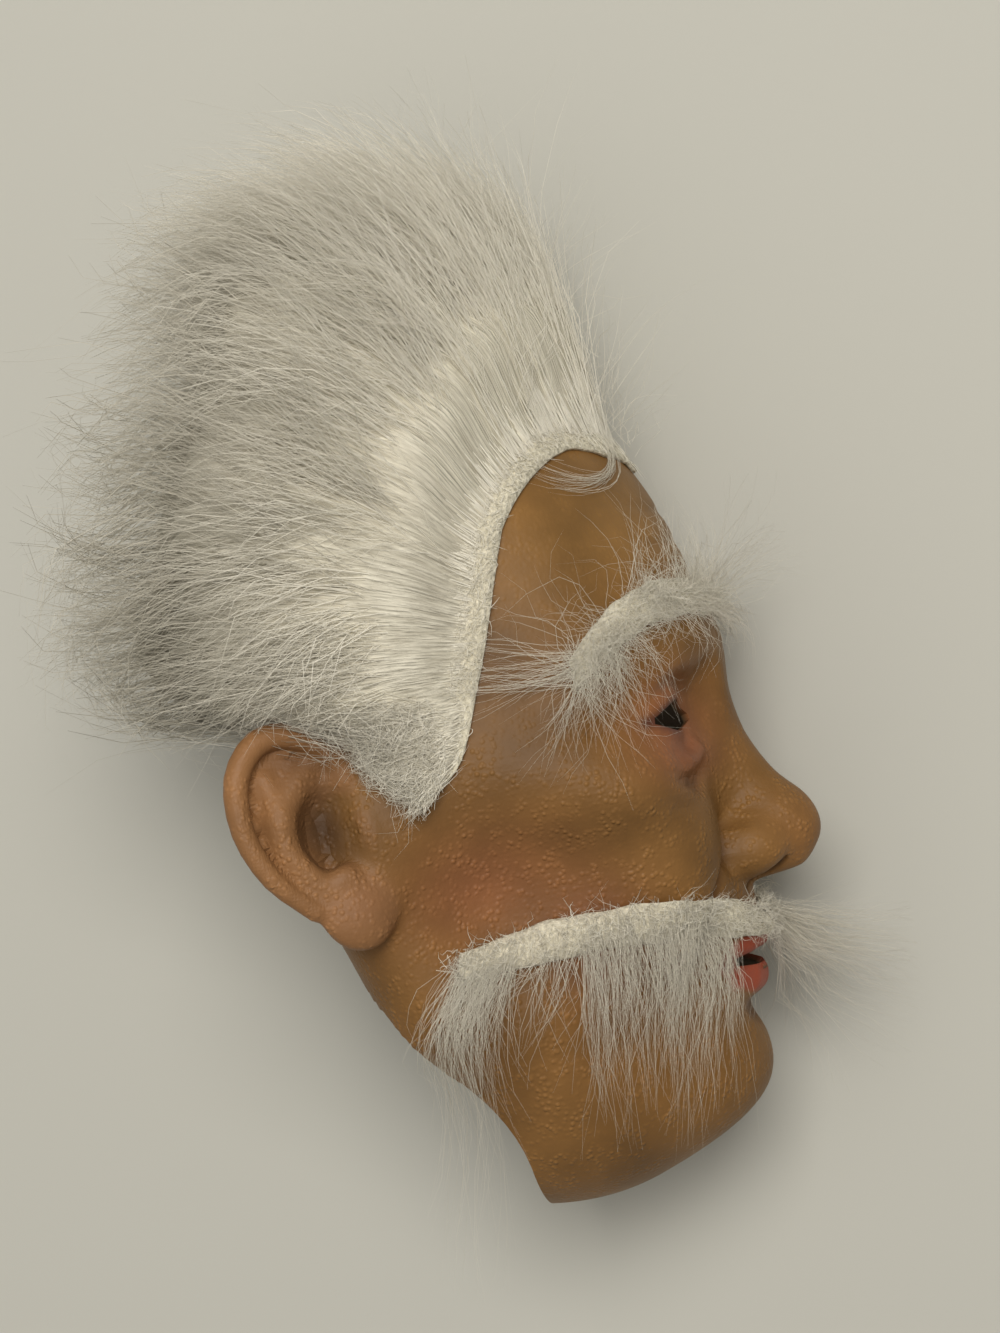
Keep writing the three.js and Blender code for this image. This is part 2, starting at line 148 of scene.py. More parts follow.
# Tufts of brow and moustache: how many fibres the right and the left strip have, and then what tuft() takes
BROW_TUFTS = (
    ((300, 150), (0.1, 1), (172, 36), (14, 44), (2, 8), 85),
    ((300, 150), (0.74, 1), (8, 16), (16, 38), (2, 7), 30),
    ((150, 75), (0.15, 0.7), (-4, 28), (10, 28), (3, 8), 60),
    ((60, 30), (0.92, 1), (84, 6), (26, 52), (2, 5), 12),
    ((140, 70), (0, 1), (90, 110), (8, 26), (2, 8), 110),
    ((80, 0), (0, 0.3), (165, 22), (14, 38), (4, 12), 50, 3),
    ((0, 80), (0, 0.3), (165, 22), (14, 38), (4, 12), 50, 26),
)
MOUSTACHE_TUFTS = (
    ((740, 160), (0.24, 0.68), (2, 4), (24, 64), (2, 6), 9),
    ((80, 80), (0.66, 0.88), (18, 12), (18, 46), (2, 5), 14),
    ((260, 60), (0.86, 1), (22, 9), (22, 58), (2, 6), 13),
    ((90, 40), (0.05, 1), (178, 50), (4, 13), (2, 5), 80),
    ((60, 90), (0, 0.24), (12, 30), (4, 12), (1, 4), 40),
    ((70, 0), (0.93, 1), (17, 3), (70, 112), (3, 6), 12),
    ((0, 420), (0, 0.2), (14, 18), (16, 56), (1, 6), 48, 40),
)
BROW_WOOL, MOUSTACHE_WOOL = (1000, 500), (1200, 600)

# The stage, in metres and watts: half the floor's side, and lamps as name, place, size and power
FLOOR_SIZE = 6
LAMPS = (("key", (0.22, 0.5, 1.7), 0.8, 21), ("fill", (-0.6, -0.2, 1.6), 1.5, 4))
LAMP_COLOUR, LAMP_TARGET = (1.0, 0.965, 0.91), (0, 0, 0.05)
ROOM_COLOUR, ROOM_STRENGTH = (0.86, 0.84, 0.79, 1), 0.34

# What the camera looks at, in the head's own millimetres, and the camera's sensor
VIEW_TARGET = (-61, 139, 15)
SENSOR_WIDTH, SENSOR_HEIGHT = 27, 36


def place(points):
    """Points of the head's own axes in the frame, in metres."""
    return (np.asarray(points) + SHIFT) * 0.001


def lerp(a, b, t):
    return a + (b - a) * t


def smoothstep(x, lo, hi):
    t = np.clip((np.asarray(x, float) - lo) / (hi - lo), 0, 1)
    return t * t * (3 - 2 * t)


# Distance fields, negative inside

def ellipsoid(p, at, size):
    q = (p - np.array(at, float)) / np.array(size, float)
    outer = np.sqrt((q * q).sum(1))
    inner = np.sqrt(((q / np.array(size, float)) ** 2).sum(1)) + 1e-9
    return outer * (outer - 1) / inner


def capsule(p, a, b, ra, rb):
    a, b = np.array(a, float), np.array(b, float)
    ab = b - a
    t = np.clip((p - a) @ ab / (ab @ ab), 0, 1)
    return np.linalg.norm(p - a - t[:, None] * ab, axis=1) - (ra + (rb - ra) * t)


def rod(p, points, radii):
    d = capsule(p, points[0], points[1], radii[0], radii[1])
    for i in range(1, len(points) - 1):
        d = np.minimum(d, capsule(p, points[i], points[i + 1], radii[i], radii[i + 1]))
    return d


def join(a, b, k):
    """Both shapes as one, blended over about k millimetres."""
    h = np.maximum(k - np.abs(a - b), 0) / k
    return np.minimum(a, b) - h * h * k / 4


def carve(a, tool, k):
    return -join(-a, tool, k)


def lumps(d, p, shapes, how=join):
    """Joins or carves ellipsoids, each given by its middle, its size and how softly it blends."""
    for at, size, k in shapes:
        d = how(d, ellipsoid(p, at, size), k)
    return d


def near(p, points, reach):
    """Which points are close enough to a line, seen from the front, to be touched by it."""
    line = np.array(points, float)[:, 1:]
    return ((p[:, 1:] > line.min(0) - reach) & (p[:, 1:] < line.max(0) + reach)).all(1)


def crease(p, points, depth, width, fade=0.0, squash=0.3):
    """How far the skin sinks along a line that is seen from the front, fading at the line's ends."""
    out = np.zeros(len(p))
    hit = near(p, points, 3 * width)
    if not hit.any():
        return out
    flat = np.array((squash, 1, 1))
    q = p[hit] * flat
    line = np.array(points, float) * flat
    best = np.full(len(q), 1e9)
    share = np.zeros(len(q))
    for i in range(len(line) - 1):
        ab = line[i + 1] - line[i]
        t = np.clip((q - line[i]) @ ab / (ab @ ab), 0, 1)
        d = np.linalg.norm(q - line[i] - t[:, None] * ab, axis=1)
        closer = d < best
        best[closer] = d[closer]
        share[closer] = (i + t[closer]) / (len(line) - 1)
    ends = np.clip(np.minimum(share, 1 - share) / fade, 0, 1) if fade else 1.0
    out[hit] = depth * np.exp(-(best / width) ** 2) * ends
    return out


def welt(d, p, points, radii, k):
    """Joins a thin raised line to the field, working only near it."""
    hit = near(p, points, 8)
    if hit.any():
        d = d.copy()
        d[hit] = join(d[hit], rod(p[hit], points, radii), k)
    return d


def on_ball(y, z):
    rest = 1 - ((y - BALL_AT[1]) / BALL_SIZE[1]) ** 2 - ((z - BALL_AT[2]) / BALL_SIZE[2]) ** 2
    return (BALL_AT[0] + BALL_SIZE[0] * math.sqrt(max(rest, 0.02)), y, z)


def on_muzzle(y, z, out):
    rest = 1 - ((y - MUZZLE_AT[1]) / MUZZLE_SIZE[1]) ** 2 - (z / MUZZLE_SIZE[2]) ** 2
    return (MUZZLE_AT[0] + MUZZLE_SIZE[0] * math.sqrt(max(rest, 0.02)) + out, y, z)


def arc(y0, y1, rise, z0, z1, steps=8):
    """Points of an arched line, as (y, z)."""
    line = []
    for i in range(steps):
        t = i / (steps - 1)
        line.append((lerp(y0, y1, t) + rise * 4 * t * (1 - t), lerp(z0, z1, t)))
    return line


def lid_line(rise, widen=0.0, steps=9):
    """Points of one lid's edge, from the inner to the outer corner."""
    return arc(EYE_Y, EYE_Y, rise, EYE_IN - widen, EYE_OUT + widen, steps)


def head_form(p):
    """The head without ears: the same lumps and hollows as the solids have."""
    d = ellipsoid(p, (-88, 150, 0), (83, 84, 75))
    d = join(d, ellipsoid(p, (-62, 104, 0), (58, 74, 62)), 30)
    jaw = [(-28, 18, 8), (-60, 27, 34), (-86, 46, 46), (-98, 92, 54)]
    d = join(d, rod(p, jaw, [16, 16, 17, 17]), 26)
    d = lumps(d, p, (
        ((-60, 64, 0), (50, 48, 57), 24),  # lower face
        (MUZZLE_AT, MUZZLE_SIZE, 18),
        ((-18.5, 13, 0), (17, 14, 19), 14),  # chin
        ((-64, 12, 0), (50, 33, 43), 16),  # throat
        ((-38, 98, 46), (25, 13, 18), 20),  # cheekbone
        ((-22, 80, 32), (16, 17, 14), 14),  # cheek
    ))
    brow = [(-9, 136, 5), (-10.5, 138, 22), (-21, 137, 38), (-36, 131, 53)]
    d = join(d, rod(p, brow, [8.5, 9, 8, 6.5]), 14)
    d = lumps(d, p, (
        ((-52, 152, 92), (34, 30, 22), 26),  # temple
        ((-50, 68, 80), (28, 22, 22), 24),  # under the cheekbone
        ((7, 119, 32), (19, 13, 20), 9),  # socket
        ((3, 121, 15), (10, 10, 7), 7),  # between eye and nose
    ), carve)
    d = join(d, ellipsoid(p, BALL_AT, BALL_SIZE), 4)
    d = join(d, rod(p, [(-11, 126, 0), (-2.5, 105, 0), (8, 85, 0)], [7.5, 8.5, 10]), 12)
    d = lumps(d, p, (
        ((12, 79, 0), (11.5, 10, 11), 10),  # tip of the nose
        ((0.5, 75.5, 12.3), (12.5, 8.6, 7.7), 5),  # wing of the nose
    ))
    d = join(d, rod(p, [(14, 72.5, 0), (-2, 67.5, 0)], [4.5, 4.5]), 4)
    upper = [on_muzzle(y, z, -1.5) for y, z in [(48.8, 0), (50.4, 5), (48, 14), (44.5, 25)]]
    lower = [on_muzzle(y, z, -2.8) for y, z in [(38, 0), (38, 9), (41.5, 23)]]
    d = join(d, rod(p, upper, [4.4, 5, 4.4, 2]), 4)
    return join(d, rod(p, lower, [6.4, 5.8, 2.2]), 4)


def broad_creases(p, d):
    """Folds that the solids have too. A depth below zero raises the skin."""
    for line, depth, width, fade in (
        ([(-3, 82, 20.5), (-9, 72, 26), (-14, 58, 33), (-19, 46, 37), (-22, 38, 37)], 2.6, 3, 0.2),  # cheek
        ([(3, 86, 13), (-6, 82.5, 18.5), (-9, 75, 21), (-8, 68, 19)], 1.8, 2.2, 0.2),  # wing of the nose
        ([(0, 44, 0), (-1, 44.4, 10), (-8, 43.6, 26), (-12, 42, 31)], 2.4, 2.2, 0),  # between the lips
        ([(-9, 31, -20), (-4, 28.5, 0), (-9, 31, 20)], 2.6, 4.6, 0.4),  # over the chin
        ([(-10, 108, 20), (-8, 104, 30), (-14, 104, 44)], -1.6, 3.4, 0.2),  # bag under the eye
        ([(-8, 102, 20), (-8, 96.5, 33), (-16, 98, 50)], 1.7, 2.6, 0.35),  # under the bag
    ):
        d = d + crease(p, line, depth, width, fade)
    return d


def nostril(p, size):
    return ellipsoid((p - np.array(NOSTRIL_AT)) @ NOSTRIL_AXES, (0, 0, 0), size)


def fine_lines(p, d):
    """Lid edges, lid folds, wrinkles and nostrils, which only the skin's fine mesh can hold."""
    lids = [1.0, 1.5, 1.8, 2.0, 2.1, 2.0, 1.8, 1.5, 1.0]
    d = welt(d, p, [on_ball(y, z) for y, z in lid_line(EYE_UP + 1.2, 0.5)], lids, 2.0)
    d = welt(d, p, [on_ball(y, z) for y, z in lid_line(-EYE_DOWN - 1.0, 0.5)], [0.85 * r for r in lids], 2.0)
    for x, ends, depth, width, fade in (
        (-10, (119.5, 118.5, 8.6, 17, 54), 0.7, 2.4, 0.2),  # fold over the upper lid
        (-8, (126, 114, 9.5, 20, 58), -1.4, 4.0, 0.3),  # hood over the fold
        (-10, (106, 102, -5, 21, 56), 0.8, 2.0, 0.3),
        (-10, (110.5, 109, -3.5, 24, 52), 0.5, 1.5, 0.3),
        (-10, (101, 96, -7, 24, 60), 0.6, 2.0, 0.3),
    ):
        d = d + crease(p, [(x, y, z) for y, z in arc(*ends)], depth, width, fade)
    for k, (height, depth) in enumerate(((157, 0.7), (167.5, 0.8), (178.5, 0.6))):  # forehead
        line = []
        for z in range(-48, 49, 6):
            line.append((-10, height + 1.6 * math.cos(abs(z) / 11 + k) + 0.0016 * z * z, z))
        d = d + crease(p, line, depth, 1.9, 0.2)
    d = d + crease(p, [(-1, 147, 6.5), (-2, 138, 5.5), (-5, 130, 7)], 0.9, 2.2, 0.35)  # between the brows
    d = d + crease(p, [(3, 68, 0), (1, 54, 0)], 1.3, 3.2, 0.2)  # under the nose
    for angle, length in ((28, 14), (4, 17), (-22, 15)):  # beside the eye
        a = math.radians(angle)
        line = []
        for i in range(6):
            t = i / 5
            y = 116 + length * t * math.sin(a) - 3 * t * t
            line.append((-26 - 8 * t, y, 54.5 + 0.55 * length * t * math.cos(a)))
        d = d + crease(p, line, 0.9, 1.2, 0.3, 0.6)
    for k in range(3):  # cheek
        top, bottom = (-20 - 4 * k, 74 - 2 * k, 44 + 4 * k), (-26 - 3 * k, 46, 44 + 2 * k)
        d = d + crease(p, [top, (-24 - 3 * k, 60, 46 + 3 * k), bottom], 0.8 - 0.15 * k, 1.9, 0.4)
    return carve(d, nostril(p, (7.6, 8.0, 3.5)), 1.2)


def unpress(p):
    """Turns places on the side that is lain on back into the symmetric head's, with how far it gives way."""
    x, z = p[:, 0], p[:, 2]
    knee = PRESS_FACE - PRESS_EAR * smoothstep(-x, 58, 98) - PRESS_SOFT
    over = (-z - knee) / PRESS_SOFT
    t = np.clip(over, 0, 0.95)
    beyond = np.maximum(over - 0.95, 0) * PRESS_SOFT / 0.05
    low = -z > knee
    q = p.copy()
    q[:, 2] = np.where(low, knee - PRESS_SOFT * np.log(1 - t) + beyond, np.abs(z))
    return q, np.where(low, 1 - t, 1.0)


def plain_face(p):
    q, give = unpress(p)
    return broad_creases(q, head_form(q)) * give


def ear_axes(side):
    """The ways up, back and out of an ear, and its middle, as on the right side."""
    lean, flare = math.radians(EAR_LEAN), math.radians(EAR_FLARE[side])
    up = np.array((-math.sin(lean), math.cos(lean), 0))
    back = np.array((-math.cos(lean) * math.cos(flare), -math.sin(lean) * math.cos(flare), math.sin(flare)))
    out = np.cross(up, back)
    return up, back, out, np.array((*EAR_AT, EAR_Z[side]))


def ear_form(q):
    """Distance to an ear, on its own axes: up, back and out."""
    d = join(ellipsoid(q, (7, 0, 0), (25, 17, 4)), ellipsoid(q, (-21, -4, 0.5), (12, 10, 4)), 8)
    d = lumps(d, q, (
        ((-2, -5, -6), (15, 13, 9), 6),  # behind the bowl
        ((2, -20, -4), (24, 10, 9), 8),  # root on the head
    ))
    rim = smooth_line([(1, -8, -1), (8, -13.5, 2), (19, -13, 4), (28, -4, 5), (29.5, 6, 5), (22, 15, 5),
                       (8, 18.5, 4.5), (-7, 15.5, 4), (-19, 7.5, 2.5)])
    rim_width = np.interp(np.linspace(0, 8, len(rim)), range(9), [2.2, 3, 3.4, 3.6, 3.6, 3.5, 3.2, 2.9, 2.4])
    d = join(d, rod(q, rim, rim_width), 3)
    d = carve(d, ellipsoid(q, (-2, -5.5, 6), (13.5, 10, 10)), 4)
    ridge = smooth_line([(-14, 2, 2), (-4, 8, 3.4), (7, 7.5, 3.6), (15, 0, 2.6), (19, -7, 1.5)])
    ridge_width = np.interp(np.linspace(0, 4, len(ridge)), range(5), [2.6, 2.6, 2.8, 2.4, 1.6])
    d = join(d, rod(q, ridge, ridge_width), 4)
    d = join(d, rod(q, [(7, 7.5, 3.4), (19, 7, 2)], [2.4, 1.6]), 4)
    d = lumps(d, q, (
        ((-3.5, -14.5, 3.5), (6.5, 3, 4), 3),  # flap before the ear hole
        ((-13.5, -4, 3), (3.5, 4.5, 3.5), 3),  # knob under it
        ((-24, -5, 1), (10, 9, 4.6), 4),  # lobe
    ))
    return carve(d, ellipsoid(q, (-3, -9, 0), (4.2, 4.2, 12)), 1.0)


def smooth_line(points, steps=3):
    """More points on a Catmull-Rom curve through the given ones."""
    pts = np.array([points[0], *points, points[-1]], float)
    line = []
    for i in range(1, len(pts) - 2):
        a, b, c, d = pts[i - 1:i + 3]
        for j in range(steps):
            t = j / steps
            line.append(0.5 * (2 * b + (c - a) * t + (2 * a - 5 * b + 4 * c - d) * t * t
                               + (3 * b - a - 3 * c + d) * t ** 3))
    return np.array(line + [pts[-2]])


def on_side(p, side):
    """Points of the right side, mirrored if the side is the left."""
    return p * np.array((1, 1, SIDES[side]))


def ear_field(p, side):
    """Distance to one ear, worked out only close to it."""
    up, back, out, at = ear_axes(side)
    q = on_side(p, side) - at
    d = np.full(len(p), 60.0)
    hit = np.linalg.norm(q, axis=1) < 60
    if hit.any():
        d[hit] = ear_form(q[hit] @ np.array((up, back, out)).T)
    return d


def skin_field(p):
    q, give = unpress(p)
    d = fine_lines(q, broad_creases(q, head_form(q))) * give
    for side in SIDES:
        d = join(d, ear_field(p, side), 4)
    return d


def slope(field, p):
    """A field's values and its slope there, each way."""
    step = 0.25
    base = field(p)
    g = np.empty_like(p)
    for i in range(3):
        moved = p.copy()
        moved[:, i] += step
        g[:, i] = (field(moved) - base) / step
    return base, g


def settle(field, p, rounds):
    """Moves points onto a field's surface, at most 1.2 millimetres a round."""
    for _ in range(rounds):
        d, g = slope(field, p)
        move = d[:, None] * g / np.maximum((g * g).sum(1), 0.05)[:, None]
        size = np.linalg.norm(move, axis=1)
        p = p - move * np.minimum(1, 1.2 / np.maximum(size, 1e-9))[:, None]
    return p


def meet(field, start, end, offset=0.0):
    """Walks points from start towards end, in up to 60 steps, until they are offset away from the surface."""
    along = end - start
    length = np.linalg.norm(along, axis=1)
    t = np.zeros(len(start))
    live = np.arange(len(start))
    for _ in range(60):
        d = field(start[live] + t[live, None] * along[live]) - offset
        t[live] += np.maximum(0.8 * d, 0) / length[live]
        live = live[(d > 0.02) & (t[live] < 1)]
        if not len(live):
            break
    return start + np.minimum(t, 1)[:, None] * along


# Meshes

def mesh_points(mesh):
    co = np.empty(3 * len(mesh.vertices))
    mesh.vertices.foreach_get("co", co)
    return co.reshape(-1, 3)


def set_points(mesh, points):
    mesh.vertices.foreach_set("co", np.ascontiguousarray(points, dtype=np.float32).ravel())
    mesh.update()


def new_object(name, bm):
    mesh = bpy.data.meshes.new(name)
    bm.to_mesh(mesh)
    bm.free()
    ob = bpy.data.objects.new(name, mesh)
    bpy.context.scene.collection.objects.link(ob)
    for face in mesh.polygons:
        face.use_smooth = True
    return ob


def bake(ob):
    """Applies an object's modifiers to its mesh."""
    made = bpy.data.meshes.new_from_object(ob.evaluated_get(bpy.context.evaluated_depsgraph_get()))
    ob.modifiers.clear()
    old = ob.data
    ob.data = made
    bpy.data.meshes.remove(old)
    return ob


def paint(mesh, name, values):
    """Stores one colour or one number for each vertex."""
    values = np.asarray(values, np.float32)
    if values.ndim == 1:
        mesh.attributes.new(name, "FLOAT", "POINT").data.foreach_set("value", values)
        return
    rgba = np.ones((len(values), 4), np.float32)
    rgba[:, :3] = values
    mesh.attributes.new(name, "FLOAT_COLOR", "POINT").data.foreach_set("color", rgba.ravel())


def linear(*srgb):
    """Linear colour from sRGB values of 0 to 255."""
    c = np.array(srgb, float) / 255
    return np.where(c <= 0.04045, c / 12.92, ((c + 0.055) / 1.055) ** 2.4)


# The latex face

def trim_outline():
    """Edge of the mask seen from its side: throat, jaw, behind the ear and under the hair."""
    def bend(a, b, c):
        a, b, c = np.array(a, float), np.array(b, float), np.array(c, float)
        return [a * (1 - t) ** 2 + 2 * b * t * (1 - t) + c * t * t for t in np.linspace(0, 1, 8)]

    line = [np.array((-67.0, -40.0))]
    line += bend((-70, -4), (-72, 12), (-89, 27))
    line += bend((-110, 57), (-116, 66), (-116, 80))
    line += bend((-116, 124), (-114, 134), (-99, 150))
    top = smooth_line([(-99, 150, 0), (-84, 172, 0), (-66, 190, 0), (-44, 204, 0), (-20, 213, 0)], 4)[1:, :2]
    return np.array(line + list(top) + [np.array((80.0, 230.0)), np.array((80.0, -40.0))])


def inside(points, outline):
    """Which points lie within a closed outline."""
    x, y = points[:, 0], points[:, 1]
    hit = np.zeros(len(points), bool)
    for a, b in zip(outline, np.roll(outline, -1, axis=0)):
        if a[1] == b[1]:
            continue
        crosses = (a[1] > y) != (b[1] > y)
        hit ^= crosses & (x < (b[0] - a[0]) * (y - a[1]) / (b[1] - a[1]) + a[0])
    return hit


def to_outline(points, outline):
    """The nearest points of an outline, with how far away they are."""
    best = np.full(len(points), 1e9)
    spot = points.copy()
    for a, b in zip(outline, np.roll(outline, -1, axis=0)):
        ab = b - a
        t = np.clip((points - a) @ ab / max(ab @ ab, 1e-9), 0, 1)
        q = a + t[:, None] * ab
        d = np.linalg.norm(points - q, axis=1)
        closer = d < best
        best[closer] = d[closer]
        spot[closer] = q[closer]
    return spot, best


def eye_outline(side):
    upper = [(side * z, y) for y, z in lid_line(EYE_UP, steps=20)]
    lower = [(side * z, y) for y, z in lid_line(-EYE_DOWN, steps=20)]
    return np.array(upper + lower[::-1][1:-1])


def mouth_outline():
    turns = np.linspace(0, 2 * math.pi, 60, endpoint=False)
    return np.stack([MOUTH_HALF * np.cos(turns), MOUTH_Y + MOUTH_OPEN * np.sin(turns)], 1)


def shape_head(bm):
    """Draws an even sphere's vertices onto the plain face."""
    aim = np.array([v.co.normalized() for v in bm.verts])
    middle = np.repeat(CENTRE[None], len(aim), 0)
    spots = meet(plain_face, middle + 175 * aim, middle)
    for v, spot in zip(bm.verts, spots):
        v.co = spot


def shape_ear(bm, side):
    """Draws an even sphere's vertices onto one ear."""
    up, back, out, at = ear_axes(side)
    aim = np.array([v.co.normalized() for v in bm.verts])
    q = meet(ear_form, aim * np.array((46, 31, 17)), aim * np.array((13, 9, 2)))
    for v, spot in zip(bm.verts, on_side(at + q @ np.array((up, back, out)), side)):
        v.co = spot
    bmesh.ops.recalc_face_normals(bm, faces=bm.faces)


def closed_head(cell):
    whole = bmesh.new()
    bmesh.ops.create_uvsphere(whole, u_segments=HEAD_FACES[0], v_segments=HEAD_FACES[1], radius=1)
    shape_head(whole)
    ob = new_object("latex_skin", whole)
    for side in SIDES:
        bm = bmesh.new()
        bmesh.ops.create_uvsphere(bm, u_segments=EAR_FACES[0], v_segments=EAR_FACES[1], radius=1)
        shape_ear(bm, side)
        bm.from_mesh(ob.data)
        bm.to_mesh(ob.data)
        bm.free()
    remesh = ob.modifiers.new("Even faces", "REMESH")
    remesh.mode = "VOXEL"
    remesh.voxel_size = cell
    return bake(ob)


def is_detailed(p):
    """Where the skin needs faces of half the size: eyes, nose, mouth and ears."""
    q, _ = unpress(p)
    eyes = ellipsoid(q, (-16, 114, 34), (26, 15, 26)) < 0
    nose = ellipsoid(q, (6, 76, 0), (22, 16, 24)) < 0
    mouth = ellipsoid(q, (-8, 44, 0), (22, 10, 30)) < 0
    return eyes | nose | mouth | (ear_field(p, "right") < 3) | (ear_field(p, "left") < 3)


def split_detail(ob):
    bm = bmesh.new()
    bm.from_mesh(ob.data)
    bm.faces.ensure_lookup_table()
    middles = np.array([f.calc_center_median() for f in bm.faces])
    picked = set()
    for i in np.flatnonzero(is_detailed(middles)):
        picked.update(bm.faces[i].edges)
    bmesh.ops.subdivide_edges(bm, edges=list(picked), cuts=1, use_grid_fill=True)
    bm.to_mesh(ob.data)
    bm.free()
    return ob


def spread(ob, p, rounds, fixed=()):
    """Evens out the mesh on the skin, leaving the fixed points where they are."""
    edges = np.empty(2 * len(ob.data.edges), int)
    ob.data.edges.foreach_get("vertices", edges)
    edges = edges.reshape(-1, 2)
    ends = np.concatenate([edges[:, 0], edges[:, 1]])
    others = np.concatenate([edges[:, 1], edges[:, 0]])
    count = np.maximum(np.bincount(ends, minlength=len(p)), 1)[:, None]
    loose = np.ones(len(p), bool)
    loose[list(fixed)] = False
    for _ in range(rounds):
        total = np.stack([np.bincount(ends, p[others, i], len(p)) for i in range(3)], 1)
        p[loose] = lerp(p, total / count, 0.6)[loose]
        p[loose] = settle(skin_field, p[loose], 1)
    return p


def cut_out(ob, p, ring, axes, taken, step):
    """Draws the closed outline ring into the mesh, and removes the faces that taken marks as cut away.

    taken gives each point's side: below zero where the skin goes. step is the size of the faces there.
    """
    spot, far = to_outline(p[:, axes], ring)
    side = taken(p, far)
    # Points this close are drawn onto the outline, so that it runs along edges and diagonals
    drawn = np.abs(side) < 0.72 * step
    p[np.ix_(drawn, axes)] = spot[drawn]
    side[drawn] = 0
    bm = bmesh.new()
    bm.from_mesh(ob.data)
    bm.verts.ensure_lookup_table()
    for v, co in zip(bm.verts, p):
        v.co = co
    for f in list(bm.faces):
        values = [side[v.index] for v in f.verts]
        zeros = [v for v, value in zip(f.verts, values) if value == 0]
        crossed = min(values) < 0 < max(values) and len(values) == 4 and len(zeros) == 2
        if crossed and values[0] * values[2] == 0:
            if not any(zeros[1] in e.verts for e in zeros[0].link_edges):
                bmesh.utils.face_split(f, zeros[0], zeros[1])
    doomed = [f for f in bm.faces if sum(side[v.index] for v in f.verts) < 0]
    bmesh.ops.delete(bm, geom=doomed, context="FACES")
    loose = [v for v in bm.verts if not v.link_faces]
    bmesh.ops.delete(bm, geom=loose, context="VERTS")
    bm.to_mesh(ob.data)
    bm.free()
    return mesh_points(ob.data)


def signed(points, outline, far):
    return np.where(inside(points, outline), -far, far)


def seat(p):
    """How far the mask's edge moves forward at a point of the neck: the lain-on half reaches further back."""
    return 0.046 * (p[:, 2] - 60) * np.clip((57 - p[:, 1]) / 27, 0, 1)


def drop_outside(ob, cell):
    """Cuts away the back of the head and the holes, with clean edges on their outlines."""
    p = spread(ob, settle(skin_field, mesh_points(ob.data), 2), 3)
    back = trim_outline()

    def beyond_back(p, far):
        side = -signed(p[:, :2], back, far)
        p = p + np.stack([seat(p), 0 * far, 0 * far], 1)
        ear = np.minimum(ear_field(p, "right"), ear_field(p, "left"))
        q, _ = unpress(p)
        return np.where(ear < head_form(q) + 1.0, 99.0, side)

    p[:, 0] -= seat(p)
    p = cut_out(ob, p, back, [0, 1], beyond_back, cell)
    p[:, 0] += seat(p)
    holes = [(eye_outline(side), EYE_BACK) for side in SIDES.values()] + [(mouth_outline(), MOUTH_BACK)]
    for ring, front in holes:
        p = cut_out(ob, p, ring, [2, 1], lambda p, far: np.where(
            p[:, 0] > front, signed(p[:, [2, 1]], ring, far), 99.0), cell / 2)
    rim = edge_verts(ob.data)
    p = spread(ob, p, 2, rim)
    for _ in range(3):
        p[rim] = pull_to_edges(settle(skin_field, p[rim], 1), back, holes, cell)
    set_points(ob.data, p)
    return ob


def edge_verts(mesh):
    bm = bmesh.new()
    bm.from_mesh(mesh)
    found = np.array([v.index for v in bm.verts if v.is_boundary])
    bm.free()
    return found


def pull_to_edges(p, back, holes, cell):
    """Draws the points along the mask's edge and round its holes back onto their outlines."""
    p = p.copy()
    p[:, 0] -= seat(p)
    spot, far = to_outline(p[:, :2], back)
    hit = far < 1.5 * cell
    p[hit, :2] = spot[hit]
    p[:, 0] += seat(p)
    for ring, front in holes:
        spot, far = to_outline(p[:, [2, 1]], ring)
        hit = (far < cell) & (p[:, 0] > front)
        p[hit, 2] = spot[hit, 0]
        p[hit, 1] = spot[hit, 1]
    return p


def spot_mask(q, at, size):
    """A soft round patch, 1 in its middle, on the symmetric head."""
    return np.exp(-(((q - np.array(at, float)) / np.array(size, float)) ** 2).sum(1))


